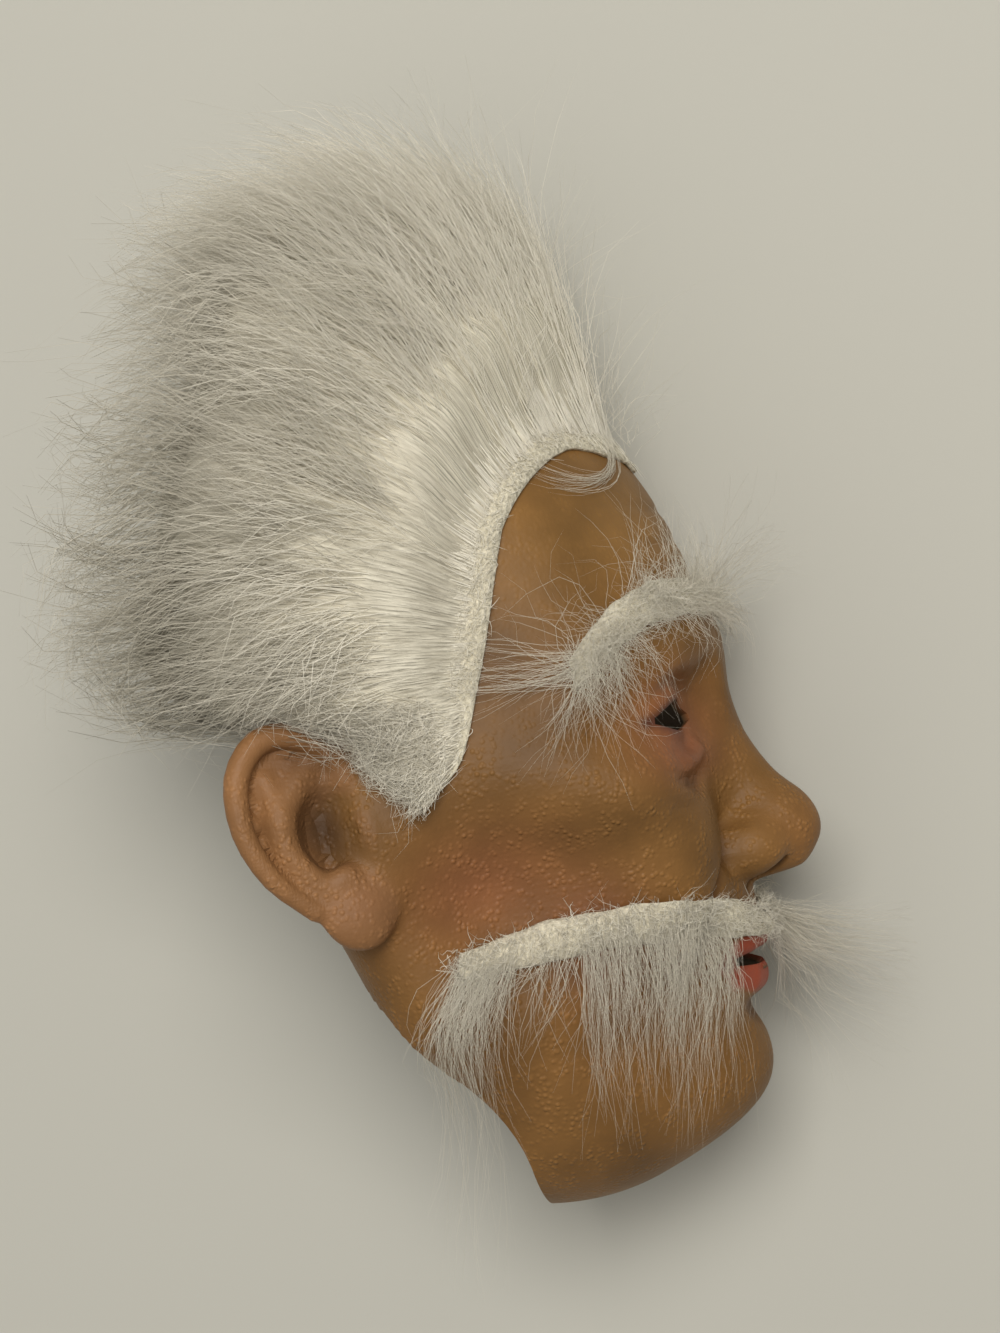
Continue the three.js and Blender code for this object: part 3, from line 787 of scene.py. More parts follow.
def skin_colours(p, look):
    q, _ = unpress(p)
    colour = np.repeat(np.array(look.latex_colour[:3])[None], len(p), 0)

    def tint(mask, *target):
        nonlocal colour
        colour = colour + np.clip(mask, 0, 1)[:, None] * (linear(*target) - colour)

    for strength, at, size, target in (
        (0.75, (-62, 120, 62), (30, 34, 16), (104, 74, 40)),  # temple
        (0.6, (-50, 66, 58), (30, 22, 26), (104, 74, 40)),  # hollow of the cheek
        (0.5, (-70, 78, 60), (26, 16, 16), (150, 92, 62)),  # back of the cheek
        (0.65, (-12, 116, 34), (16, 13, 22), (150, 82, 60)),  # round the eye
        (0.45, (-12, 104, 34), (14, 6, 20), (150, 86, 62)),  # bag under it
        (0.55, (-20, 172, 20), (40, 30, 50), (152, 114, 62)),  # forehead
        (0.5, (-50, 30, 40), (60, 26, 40), (114, 80, 42)),  # jaw and neck
        (0.35, (-40, 60, 46), (14, 16, 14), (150, 82, 60)),  # cheek
        (0.3, (16, 78, 0), (10, 10, 14), (150, 100, 66)),  # tip of the nose
    ):
        tint(strength * spot_mask(q, at, size), *target)
    lips = np.zeros(len(p))
    for reach, spots in (
        (4.6, [(48.6, 0), (50, 5), (48, 14), (44.5, 24)]),
        (5.0, [(38.6, 0), (38.8, 9), (41.8, 22)]),
    ):
        line = [on_muzzle(y, z, 1) for y, z in spots]
        lips = np.maximum(lips, smoothstep(-rod(q, line, [reach] * len(line)), -1.2, 0.4))
    tint(0.95 * lips * (q[:, 0] > -26), 150, 66, 44)
    upper = [on_ball(y, z) for y, z in lid_line(EYE_UP - 0.3)]
    lower = [on_ball(y, z) for y, z in lid_line(-EYE_DOWN + 0.2)]
    outer = smoothstep(q[:, 2], 24, 42)
    tint(0.9 * crease(q, upper, 1, 1.7) * (0.35 + 0.65 * outer), 52, 26, 24)
    tint(0.8 * crease(q, lower, 1, 1.5) * outer, 70, 34, 36)
    tail = [(-28, 116, 49), (-31, 114.5, 54), (-35, 113.5, 58)]
    tint(0.8 * crease(q, tail, 1, 1.2, 0.2), 58, 32, 36)
    # Skin that sinks into folds and wrinkles is darkened: painted shade in the creases
    form = head_form(q)
    deep = form - fine_lines(q, broad_creases(q, form))
    tint(0.45 * smoothstep(-deep, 0.3, 2.2), 84, 52, 30)
    # The nostrils are painted nearly black: painted shade in their hollows
    tint(0.95 * smoothstep(-nostril(q, (7.9, 8.3, 3.9)), -0.5, 1.0), 24, 14, 10)
    for side in SIDES:
        up, back, out, at = ear_axes(side)
        r = (on_side(p, side) - at) @ np.array((up, back, out)).T
        tint(0.7 * smoothstep(-ear_field(p, side), -1.5, 0.0), 140, 100, 66)
        # The ear's bowl and the groove under its rim are darkened: painted shade in its hollows
        tint(0.85 * spot_mask(r, (0, -5, -2), (12, 9, 7)), 66, 45, 28)  # bowl
        tint(0.5 * spot_mask(r, (20, -3, 1), (9, 10, 4)), 70, 44, 28)  # groove under the rim
        tint(0.4 * spot_mask(r, (-22, -4, 3), (7, 8, 6)), 160, 112, 78)  # lobe
    return colour


def stipple_mask(p):
    """How strongly the moulded dots stand out: on cheeks, nose, jaw and neck, and hardly on the brow."""
    q, _ = unpress(p)
    mask = 0.25 + 0.75 * smoothstep(-q[:, 1], -128, -104)
    mask *= 1 - 0.9 * spot_mask(q, (-8, 112, 34), (14, 14, 24))
    mask *= 1 - 0.9 * smoothstep(-ellipsoid(q, (-6, 44, 0), (14, 12, 27)), -2, 2)
    return mask


# Hair

def hair_base():
    """Table of the head's surface under the hair, over x and the angle from the top."""
    xs = np.linspace(-150, -8, 48)
    angles = np.radians(np.linspace(-HAIR_END - 4, HAIR_END + 4, 85))
    gx, ga = np.meshgrid(xs, angles, indexing="ij")
    aim = np.stack([np.zeros(gx.size), np.cos(ga.ravel()), np.sin(ga.ravel())], 1)
    middle = np.stack([gx.ravel(), np.full(gx.size, HAIR_AXIS), np.zeros(gx.size)], 1)
    spots = meet(plain_face, middle + 150 * aim, middle, FIT + 0.5)
    radius = np.linalg.norm(spots - middle, axis=1).reshape(gx.shape)
    return xs, angles, radius


def table_value(table, x, angle):
    """The surface's distance from the hair's axis, between the four nearest entries of the table."""
    xs, angles, radius = table
    i = np.clip((x - xs[0]) / (xs[1] - xs[0]), 0, len(xs) - 1.001)
    j = np.clip((angle - angles[0]) / (angles[1] - angles[0]), 0, len(angles) - 1.001)
    i0, j0 = i.astype(int), j.astype(int)
    fi, fj = i - i0, j - j0
    return ((1 - fi) * (1 - fj) * radius[i0, j0] + fi * (1 - fj) * radius[i0 + 1, j0]
            + (1 - fi) * fj * radius[i0, j0 + 1] + fi * fj * radius[i0 + 1, j0 + 1])


def hair_point(table, u, v, level):
    """Place in the hair.

    u runs from the left sideburn over the top to the right one, v from the hairline back, and level from 0 on
    the head to 1 on the hair's outside.
    """
    u, v, level = np.broadcast_arrays(np.asarray(u, float), np.asarray(v, float), np.asarray(level, float))
    degrees = lerp(-HAIR_END, HAIR_END, u)
    angle = np.radians(degrees)
    off = np.abs(degrees)
    line = np.interp(off, HAIRLINE_TURN, HAIRLINE)
    # The tips lie further back on the sides than on top, and well forward over and in front of the ear
    swept = -137 - 36 * np.abs(np.sin(angle)) ** 1.5 + 15 * smoothstep(off, 74, 94)
    tip = lerp(swept, -94, smoothstep(off, OVER_EAR, OVER_EAR + 8))
    tip = lerp(tip, -84, smoothstep(off, 105, HAIR_END))
    x = lerp(line, tip, v)
    radius = table_value(table, np.maximum(x, -150), angle)
    # The pile is deepest on the crown, thin on the sideburns, and rises more slowly on the sides than on top
    crown = np.maximum(np.cos(angle), 0) ** 1.2
    deep = lerp(SIDE_DEPTH, TOP_DEPTH, crown) * lerp(1, 0.25, smoothstep(off, 88, 100))
    slow = np.sin(np.minimum(v * 1.9 + 0.08, math.pi / 2)) * lerp(1, 0.72, v * v)
    top = np.interp(v, TOP_RUN, TOP_RISE)
    rise = lerp(slow, top, crown)
    depth = (HAIR_EDGE + (deep - HAIR_EDGE) * rise) * level
    # It leans forward over the forehead, and back towards the tips
    lean = (3 * level + 0.3 * depth) * crown * (1 - v) ** 2 - 0.12 * depth * v
    reach = radius + depth
    y = HAIR_AXIS + reach * np.cos(angle)
    z = np.maximum(reach * np.sin(angle), HAIR_LOW)
    return np.stack([x + lean, y, z], -1)


def off_top(a):
    """Degrees round from the top of the head, and how near the crown that is, from 0 to 1."""
    off = np.abs(lerp(-HAIR_END, HAIR_END, a))
    return off, np.maximum(np.cos(np.radians(off)), 0)


def combed(a, v):
    """The share u that a fibre rooted at share a has reached at v.

    The hair turns up towards the crown as it runs back, and droops a little over the ear.
    """
    off, _ = off_top(a)
    back = np.clip(v, 0, 1.1)
    turn_up = 20 * np.sin(math.pi * np.minimum(off, 95) / 95) * back ** 0.8
    droop = 5 * smoothstep(off, 78, 93) * (1 - smoothstep(off, 95, 106)) * back ** 2
    return a - np.sign(a - 0.5) * (turn_up - droop) / (2 * HAIR_END)


def ridge_noise(u, v):
    """Uneven ridges that run back from the hairline."""
    return np.sin(61 * u + 5 * v) + 0.6 * np.sin(143 * u - 9 * v + 1.3) + 0.4 * np.sin(251 * u + 7 * v)


def dense_level(a, v):
    """Level that the closely packed fibres fill."""
    _, crown = off_top(a)
    ridges = ridge_noise(a, v) * (0.6 + 0.4 * np.sin(9 * v + 23 * a))
    tufts = np.sin(17 * v + 31 * a) * np.sin(23 * v - 47 * a + 1) + 0.5 * np.sin(41 * v + 90 * a)
    full = lerp(0.8, 0.72, crown) + 0.04 * ridges + 0.05 * crown * tufts
    return full * lerp(1, 0.3, smoothstep(v, 0.6, 0.92)) * lerp(0.05, 1, smoothstep(v, 0.035, 0.17))


def pile_tone_and_shade(a, v):
    """How pale the pile is: brightest by the hairline and on the crown, and darker towards the tips and most
    of all low at the back, partly painted shade and partly tips that are greyer.
    """
    off, _ = off_top(a)
    low = smoothstep(v, 0.16, 0.75) * smoothstep(off, 12, 42) * (1 - 0.75 * smoothstep(off, 88, 102))
    return 1.02 - 0.1 * smoothstep(v, 0.3, 0.9) - 0.44 * low


def bezier(a, b, c, t):
    t = np.asarray(t)[None, :, None]
    return a[:, None] * (1 - t) ** 2 + 2 * b[:, None] * t * (1 - t) + c[:, None] * t * t


def fibre_curve(name, paths, radius):
    """A curve object with one line for each path and a three-sided section that thins towards the tip."""
    section = bpy.data.curves.new("fibre_section", "CURVE")
    ring = section.splines.new("POLY")
    ring.points.add(2)
    for i, point in enumerate(ring.points):
        turn = 2 * math.pi * i / 3
        point.co = (math.cos(turn), math.sin(turn), 0, 1)
    ring.use_cyclic_u = True
    curve = bpy.data.curves.new(name, "CURVE")
    curve.dimensions = "3D"
    curve.bevel_mode = "OBJECT"
    curve.use_fill_caps = True
    curve.bevel_object = bpy.data.objects.new("fibre_section", section)
    count, steps = paths.shape[:2]
    co = np.ones((count, steps, 4), np.float32)
    co[:, :, :3] = place(paths.reshape(-1, 3)).reshape(count, steps, 3)
    taper = 1 - 0.82 * np.linspace(0, 1, steps) ** 1.6
    width = (np.asarray(radius)[:, None] * taper[None] * 0.001).astype(np.float32)
    for i in range(count):
        spline = curve.splines.new("POLY")
        spline.points.add(steps - 1)
        spline.points.foreach_set("co", co[i].ravel())
        spline.points.foreach_set("radius", width[i])
    return bpy.data.objects.new(name + "_paths", curve)


def strands(name, paths, radius, shades, material):
    """Makes one piece of fibres from their paths, with one shade for each fibre or for each of its points."""
    holder = fibre_curve(name, paths, radius)
    bpy.context.scene.collection.objects.link(holder)
    mesh = bpy.data.meshes.new_from_object(holder.evaluated_get(bpy.context.evaluated_depsgraph_get()))
    mesh.name = name
    shades = np.clip(np.asarray(shades, np.float32), 0, 1)
    if shades.ndim == 1:
        shades = np.repeat(shades[:, None], paths.shape[1], 1)
    # Blender puts every fibre's two ends before all other points, and the last fibre's ends first
    ends = shades[::-1, [-1, 0]]
    paint(mesh, "shade", np.repeat(np.concatenate([ends.ravel(), shades.ravel()]), 3))
    mesh.polygons.foreach_set("use_smooth", np.ones(len(mesh.polygons), bool))
    mesh.materials.clear()
    mesh.materials.append(material)
    ob = bpy.data.objects.new(name, mesh)
    bpy.context.scene.collection.objects.link(ob)
    section = holder.data.bevel_object
    bpy.data.objects.remove(holder)
    bpy.data.objects.remove(section)
    weld = ob.modifiers.new("Closed ends", "WELD")
    weld.merge_threshold = 1e-6
    bake(ob)
    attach(ob, "root")
    return ob


def hair_locks():
    """Where each lock is rooted, how far it runs, the level of its tip and how it leans aside."""
    rng = np.random.default_rng(3)
    a = rng.uniform(0, 1, LOCKS)
    v = rng.uniform(-0.02, LAST_ROOT, LOCKS)
    tree = KDTree(LOCKS)
    for i in range(LOCKS):
        tree.insert((a[i] * LOCK_SPREAD, v[i], 0), i)
    tree.balance()
    run = rng.uniform(0.72, 1.25, LOCKS)
    level = rng.uniform(0.8, 1.08, LOCKS)
    return tree, a, run, level, rng.normal(0, 0.015, LOCKS)


def hair_strands(table, locks, count, seed, points, fine=False):
    """Fibres that leave the dense pile and run back to the tips of their locks, or stray if they are fine."""
    rng = np.random.default_rng(seed)
    tree, lock_a, lock_run, lock_level, lock_lean = locks
    a = rng.uniform(0.004, 0.996, count)
    at_front = rng.random(count) < 0.33
    v = np.where(at_front, rng.uniform(0.035, 0.14, count), rng.uniform(0.05, LAST_ROOT, count))
    pick = np.array([tree.find((x * LOCK_SPREAD, y, 0))[1] for x, y in zip(a, v)])
    off, crown = off_top(a)
    run = lerp(0.5, 0.28, crown) * lerp(1, 0.8, smoothstep(off, 92, 104)) * lock_run[pick]
    run = run * rng.uniform(0.7, 1.2, count)
    start = dense_level(a, v) * rng.uniform(0.55, 0.92, count)
    late = smoothstep(v, 0.45, 0.66)
    end = lerp(lock_level[pick] + rng.normal(0, 0.07, count), rng.uniform(0.1, 1.06, count) ** 0.7, late)
    start = lerp(start, np.minimum(start, end * 0.9), late)
    # Fibres draw together towards the tip of their lock, and fray a little over the ear
    clump = rng.uniform(-0.4, 0.4, count) if fine else rng.uniform(0.1, 0.98, count) ** 0.7
    t = np.linspace(0, 1, points)[None]
    share = a[:, None] + ((lock_a[pick] - a) * clump)[:, None] * t ** 1.3 + lock_lean[pick][:, None] * t ** 2
    share = share + rng.normal(0, 0.011, count)[:, None] * t ** 2
    fray = np.abs(rng.normal(0, 0.023, count)) * smoothstep(off, 70, 84) * (1 - smoothstep(off, 94, 100))
    share = share + (np.sign(a - 0.5) * fray)[:, None] * t ** 2
    share = np.clip(share, 0.002, 0.998)
    back = np.minimum(v[:, None] + run[:, None] * t, lerp(0.93, 1.03, rng.random((count, 1))) + 0.03 * t)
    level = lerp(start[:, None], end[:, None], 1 - (1 - t) ** 1.8)
    path = hair_point(table, combed(share, back), back, level)
    # They stray more on the front of the crown and low on the sides, and hardly on the sideburns
    wild = rng.uniform(5, 12, count) if fine else rng.uniform(1.2, 6, count)
    wild = wild * lerp(1, 1.3, smoothstep(off, 72, 88)) * lerp(1, 0.3, smoothstep(off, 94, 104))
    wild = wild * (1 + 0.9 * crown * (v < 0.3))
    stray = np.clip(rng.normal(0, 1, (count, 3)), -1.8, 1.8) * wild[:, None]
    path = path + stray[:, None] * (t ** 2.2)[..., None]
    # A long and a short wave along each fibre
    for turns, size in ((rng.uniform(2, 6, (count, 1)), 1.5), (rng.uniform(7, 12, (count, 1)), 0.7)):
        sway = np.sin(turns * t + rng.uniform(0, 6, (count, 1))) * t
        path = path + rng.normal(0, size * (2.4 if fine else 1.0), (count, 1, 3)) * sway[..., None]
    path = path + rng.normal(0, 1.2 if fine else 0.7, (count, points, 3)) * np.minimum(2 * t, 1)[..., None]
    # The mask lies on the hair low on the left side
    under = (a < 0.5) & (off > 90)
    path[under, :, 2] = np.minimum(path[under, :, 2], PRESSED_TOP)
    # A fibre's shade holds the pile's paleness with its painted shade, random unevenness, and painted shade
    # that darkens it towards the root
    uneven = rng.normal(0, 0.07, (count, 1)) + LEAN_TO_SHADE * lock_lean[pick][:, None]
    shade = pile_tone_and_shade(share, back) - 0.04 + uneven * lerp(1, 0.5, crown[:, None]) - 0.08 * (1 - t)
    return keep_in(path), shade


def front_wisps(table, count, seed):
    """Single hairs of seven points that stand up and forward off the crown."""
    rng = np.random.default_rng(seed)
    a = 0.5 + rng.uniform(-0.16, 0.2, count)
    v = rng.uniform(0.0, 0.5, count)
    root = hair_point(table, a, v, rng.uniform(0.3, 0.9, count))
    forward, upward = rng.normal(0.25, 0.45, count), rng.uniform(0.5, 1.2, count)
    way = np.stack([forward, upward, rng.normal(0.1, 0.4, count)], 1)
    way /= np.linalg.norm(way, axis=1)[:, None]
    t = np.linspace(0, 1, 7)[None]
    length = rng.uniform(10, 44, count)[:, None]
    path = root[:, None] + way[:, None] * (length * t)[..., None]
    path = path + rng.normal(0, 6, (count, 1, 3)) * (t ** 2)[..., None]
    sway = np.sin(rng.uniform(4, 9, (count, 1)) * t + rng.uniform(0, 6, (count, 1))) * t
    path = path + rng.normal(0, 1.8, (count, 1, 3)) * sway[..., None]
    return keep_in(path), rng.uniform(0.55, 0.95, count)


def keep_in(path):
    """Keeps fibres over the surface that the mask lies on and within reach of the solids."""
    low, high = (np.array(c) * 1000 - SHIFT for c in CAD_BOX)
    # A fibre is kept within the solids' box grown by 3 percent of its size and 8.5 millimetres
    spare = 0.03 * (high - low) + 8.5
    path = np.clip(path, low - spare, high + spare)
    path[..., 2] = np.maximum(path[..., 2], FIBRE_LOW)
    return path


def edge_fuzz(table, count, seed):
    """Short matted wool along the hairline, over the cut edge of the fabric."""
    rng = np.random.default_rng(seed)
    u = rng.uniform(0.0, 1.0, count)
    off, _ = off_top(u)
    # Share of the hair's run that one millimetre takes, which is more where the run is short over the ear
    millimetre = 1 / lerp(118, 32, smoothstep(off, OVER_EAR, OVER_EAR + 7))
    v = (rng.uniform(-0.4, 8.5, count) + rng.exponential(1.5, count)) * millimetre
    mid_u, mid_v = u + rng.normal(0, 0.005, count), v + rng.normal(0, 1.4, count) * millimetre
    tip_u, tip_v = u + rng.normal(0, 0.009, count), v + rng.normal(0.7, 2.2, count) * millimetre
    root, mid, tip = (hair_point(table, *spot, 0.0) for spot in ((u, v), (mid_u, mid_v), (tip_u, tip_v)))
    middle = np.array((0, HAIR_AXIS, 0))
    for p, low, high in ((root, 0.6, 1.2), (mid, 1.3, 3.2), (tip, 0.8, 3.0)):
        away = (p - middle) * np.array((0, 1, 1))
        p += away / np.linalg.norm(away, axis=1)[:, None] * rng.uniform(low, high, count)[:, None]
    return keep_in(bezier(root, mid, tip, np.linspace(0, 1, 4)))


def sheet_between(name, faces, spot):
    """A grid whose vertices are placed by a function of their two shares, closed up by a thickness later."""
    bm = bmesh.new()
    bmesh.ops.create_grid(bm, x_segments=faces[0], y_segments=faces[1], size=0.5)
    share = np.array([(v.co.x + 0.5, v.co.y + 0.5) for v in bm.verts])
    for v, p in zip(bm.verts, place(spot(share[:, 0], share[:, 1]))):
        v.co = p
    bm.normal_update()
    middle = Vector(place(HEAD_MIDDLE))
    if sum(f.normal.dot(f.calc_center_median() - middle) for f in bm.faces) < 0:
        bmesh.ops.reverse_faces(bm, faces=bm.faces)
    return new_object(name, bm)


def thicken(ob, thickness, offset=1.0):
    solid = ob.modifiers.new("Thickness", "SOLIDIFY")
    solid.thickness = thickness * 0.001
    solid.offset = offset
    solid.use_even_offset = False
    return ob


# Strips of pile on the face

def outward(degrees):
    """The level way out of the head, at an angle round from the front of the face."""
    angle = np.radians(degrees)
    return np.stack([np.cos(angle), np.zeros_like(angle), np.sin(angle)], -1)


def skin_point(y, degrees, offset):
    aim = outward(degrees)
    middle = np.stack([np.full_like(y, CENTRE[0]), y, np.zeros_like(y)], 1)
    return meet(plain_face, middle + 140 * aim, middle + 30 * aim, offset)


def brow_path(side):
    """The height of a brow along its run, and how many degrees round from the front that is."""
    reach = 62 if side > 0 else 54
    return lambda u: (148.5 + 2.5 * np.sin(math.pi * u) - 16.5 * u ** 4, 4 + reach * u)


def moustache_path(side):
    """The same for half the moustache: past the jaw on the upper side, and short of the floor below."""
    reach = 100 if side > 0 else 72
    return lambda u: (53 + 7 * np.sin(0.9 * math.pi * u) + 1.5 * u, 4 + reach * u)


def strip_backing(name, side, path):
    """The padded fabric of a strip, narrower at its ends and a little uneven."""
    def spot(u, v):
        y, degrees = path(u)
        low = (v - 0.5) * STRIP_WIDTH * (1 - 0.35 * np.abs(2 * u - 1) ** 6)
        wavy = low + 0.3 * np.sin(23 * u + 3 * v) + 0.2 * np.sin(51 * u)
        p = skin_point(y + wavy, side * degrees, 0.45)
        puff = 1.5 * (1 - (2 * v - 1) ** 2) * (1 + 0.15 * np.sin(33 * u + 5 * v) * np.sin(21 * u))
        p = p + outward(side * degrees) * puff[:, None]
        p[:, 2] = np.maximum(p[:, 2], STRIP_LOW)
        return p
    return sheet_between(name, STRIP_FACES, spot)


def tuft(side, path, rng, count, along, aim, length, lift, curl, forward=0.0):
    """Fibres of six points that leave a strip in small locks.

    along is the part of the strip that they are rooted on. aim is the way that they run, in degrees from
    straight down with outwards positive, and how much that varies. length, lift and forward are in mm,
    and curl is how many degrees a lock bends.
    """
    # Each lock has about six fibres, which share its root, its way and its curl
    locks = max(count // 6, 1)
    own = rng.integers(0, locks, count)
    u = np.clip(rng.uniform(*along, locks)[own] + rng.normal(0, 0.015, count), *along)
    y, degrees = path(u)
    across = np.clip(rng.uniform(-0.4, 0.4, locks)[own] + rng.normal(0, 0.1, count), -0.46, 0.46)
    y = y + across * STRIP_WIDTH
    t = np.linspace(0, 1, 6)
    bend = rng.normal(0, curl, locks)[own] + rng.normal(0, 0.5 * curl, count)
    angle = rng.normal(*aim, locks)[own] + rng.normal(0, 5, count)
    wave = rng.normal(0, 0.5 * curl, (count, 1)) * np.sin(rng.uniform(3, 8, (count, 1)) * t)
    angle = np.radians(angle[:, None] + bend[:, None] * t[None] + wave)
    run = (rng.uniform(*length, locks)[own] * rng.uniform(0.4, 1.12, count))[:, None] / 5
    # Steps down the face in millimetres, and round it in degrees, on a head of 58 millimetres radius
    step_y = np.cumsum(np.cos(angle) * run, 1) - np.cos(angle[:, :1]) * run
    step_d = np.degrees(np.cumsum(np.sin(angle) * run, 1) - np.sin(angle[:, :1]) * run) / 58
    spot_y = y[:, None] - step_y
    spot_d = degrees[:, None] + step_d
    rise = (rng.uniform(*lift, locks)[own] * rng.uniform(0.6, 1.5, count))[:, None]
    rise = rise * np.sin(1.9 * t)[None] ** 1.2 + 2.0 + 0.5 * t[None]
    on_face = np.maximum(spot_y, 1.0)
    flat = skin_point(on_face.ravel(), side * spot_d.ravel(), 0.3).reshape(count, 6, 3)
    lines = flat + outward(side * spot_d) * rise[..., None]
    lines[..., 1] = spot_y
    lines[..., 0] += rng.uniform(0.5, 1.1, locks)[own][:, None] * forward * t[None] ** 1.5
    turns = t[None] * rng.uniform(3, 7, (locks, 1))[own] + rng.uniform(0, 6, (locks, 1))[own]
    sway = rng.normal(0, 1.3, (locks, 1, 3))[own] + rng.normal(0, 0.6, (count, 1, 3))
    lines = lines + sway * (np.sin(turns) * t[None])[..., None]
    lines = lines + rng.normal(0, 0.35, lines.shape) * np.minimum(2 * t, 1)[None, :, None]
    return keep_in(lines)


def forehead_curl(count, seed):
    """A small lock that has come loose and curls over the top of the forehead, with nine points a fibre."""
    rng = np.random.default_rng(seed)
    reach = np.linspace(0, 1, 9)[None] * rng.uniform(0.75, 1.2, (count, 1))
    y = 186 + 14 * (1 - reach / 0.6) ** 2 + rng.normal(0, 1.1, (count, 1))
    y = y + rng.normal(0, 2.2, (count, 1)) * reach
    degrees = 16 + 50 * reach + rng.normal(0, 1.2, (count, 1))
    wave = np.sin(rng.uniform(4, 9, (count, 1)) * reach + rng.uniform(0, 6, (count, 1)))
    y = y + rng.normal(0, 0.7, (count, 1)) * wave
    path = skin_point(y.ravel(), degrees.ravel(), 1.2).reshape(count, 9, 3)
    path = path + rng.uniform(0, 1.6, (count, 1, 1)) * np.array((0.8, 0, 0.6))
    return keep_in(path)


def mat_fuzz(side, path, rng, count):
    """Short curly wool that covers a strip."""
    u = rng.uniform(-0.02, 1.02, count)
    y, degrees = path(u)
    over = rng.uniform(-0.52, 0.52, count)
    root = skin_point(y + over * STRIP_WIDTH, side * degrees, 1.3)
    t = np.linspace(0, 1, 4)[None, :, None]
    out = outward(side * degrees)
    root = root + out * (1.5 * (1 - (2 * over) ** 2))[:, None]
    way = rng.normal(0, 1, (count, 3)) * rng.uniform(1.0, 3.6, count)[:, None]
    rise = out * rng.uniform(0.8, 3.0, count)[:, None]
    curl = rng.normal(0, 0.8, (count, 1, 3)) * np.sin(rng.uniform(3, 8, (count, 1, 1)) * t)
    return keep_in(root[:, None] + rise[:, None] * np.sin(2.4 * t) + way[:, None] * t + curl)


# Materials

def set_inputs(mat, node, values):
    """Links each input that is given a socket, and sets each that is given a value."""
    for name, value in values.items():
        if isinstance(value, bpy.types.NodeSocket):
            mat.node_tree.links.new(value, node.inputs[name])
        else:
            node.inputs[name].default_value = value


def material(name, **values):
    """A new material with its shader, whose inputs are set by name, with _ for a space."""
    mat = bpy.data.materials.new(name)
    mat.use_nodes = True
    shader = mat.node_tree.nodes["Principled BSDF"]
    set_inputs(mat, shader, {key.replace("_", " "): value for key, value in values.items()})
    return mat, shader


def add_node(mat, kind, values, **settings):
    node = mat.node_tree.nodes.new("ShaderNode" + kind)
    for name, value in settings.items():
        setattr(node, name, value)
    set_inputs(mat, node, values)
    return node


def attribute(mat, name, output="Fac"):
    return add_node(mat, "Attribute", {}, attribute_name=name).outputs[output]


def noise(mat, where, scale, detail, distortion=0.0):
    values = {"Vector": where, "Scale": scale, "Detail": detail, "Distortion": distortion}
    return add_node(mat, "TexNoise", values).outputs["Fac"]


def map_range(mat, value, low=0.0, high=1.0, to_low=0.0, to_high=1.0, **settings):
    values = {"Value": value, "From Min": low, "From Max": high, "To Min": to_low, "To Max": to_high}
    return add_node(mat, "MapRange", values, **settings).outputs["Result"]


def times(mat, a, b):
    return add_node(mat, "Math", {0: a, 1: b}, operation="MULTIPLY").outputs[0]


def scaled(mat, colour, by):
    return add_node(mat, "VectorMath", {0: colour, "Scale": by}, operation="SCALE").outputs["Vector"]


def bump(mat, height, strength, distance):
    values = {"Strength": strength, "Distance": distance, "Height": height}
    return add_node(mat, "Bump", values).outputs["Normal"]


def pile_shades(mat, value, look, dark, pale, low=0.0, high=1.0):
    """The pile's colour between two shares of it, dark where the value is low and pale where it is high."""
    ramp = add_node(mat, "ValToRGB", {"Fac": value})
    for element, position, share in zip(ramp.color_ramp.elements, (low, high), (dark, pale)):
        element.position = position
        element.color = (*(np.array(look.pile_colour[:3]) * np.array(share)), 1)
    return ramp.outputs["Color"]


def latex_finish():
    """Cloudy paint over small moulded dots, which stand out in patches and have a painted highlight on their
    tops.
    """
    mat, shader = material("painted_latex", Roughness=0.5, Specular_IOR_Level=0.24)
    where = add_node(mat, "TexCoord", {}).outputs["Object"]
    tone = map_range(mat, noise(mat, where, 38, 5), 0.3, 0.7, 0.74, 1.22)
    paint_colour = scaled(mat, attribute(mat, "paint", "Color"), tone)
    cells = {"Vector": where, "Scale": 620, "Smoothness": 0.35}
    dots = add_node(mat, "TexVoronoi", cells, feature="SMOOTH_F1")
    round_top = map_range(mat, dots.outputs["Distance"], 0.62, 0.1, interpolation_type="SMOOTHSTEP")
    patches = map_range(mat, noise(mat, where, 150, 3), 0.42, 0.64, 0.06)
    dotted = times(mat, times(mat, round_top, patches), attribute(mat, "stipple"))
    grain = noise(mat, where, 700, 4)
    height = add_node(mat, "Math", {0: grain, 1: 0.35, 2: dotted}, operation="MULTIPLY_ADD").outputs[0]
    # The dots' round tops are brightened in the colour: a painted highlight
    colour = scaled(mat, paint_colour, map_range(mat, dotted, to_low=1.0, to_high=1.34))
    set_inputs(mat, shader, {"Base Color": colour, "Normal": bump(mat, height, 0.8, 0.00045)})
    return mat


def pile_finish(name, look):
    """Single fibres, each with its own shade."""
    mat, shader = material(name, Roughness=0.55, Specular_IOR_Level=0.35)
    colour = pile_shades(mat, attribute(mat, "shade"), look, (0.36, 0.345, 0.31), (1, 1, 1))
    set_inputs(mat, shader, {"Base Color": colour})
    return mat


def felt_finish(name, look):
    """Matted, knitted edge of the pile fabric."""
    mat, shader = material(name, Roughness=0.9)
    fuzz = noise(mat, add_node(mat, "TexCoord", {}).outputs["Object"], 850, 6)
    colour = pile_shades(mat, fuzz, look, (0.5, 0.48, 0.42), (0.93, 0.91, 0.84), 0.3, 0.7)
    set_inputs(mat, shader, {"Base Color": colour, "Normal": bump(mat, fuzz, 0.9, 0.001)})
    return mat


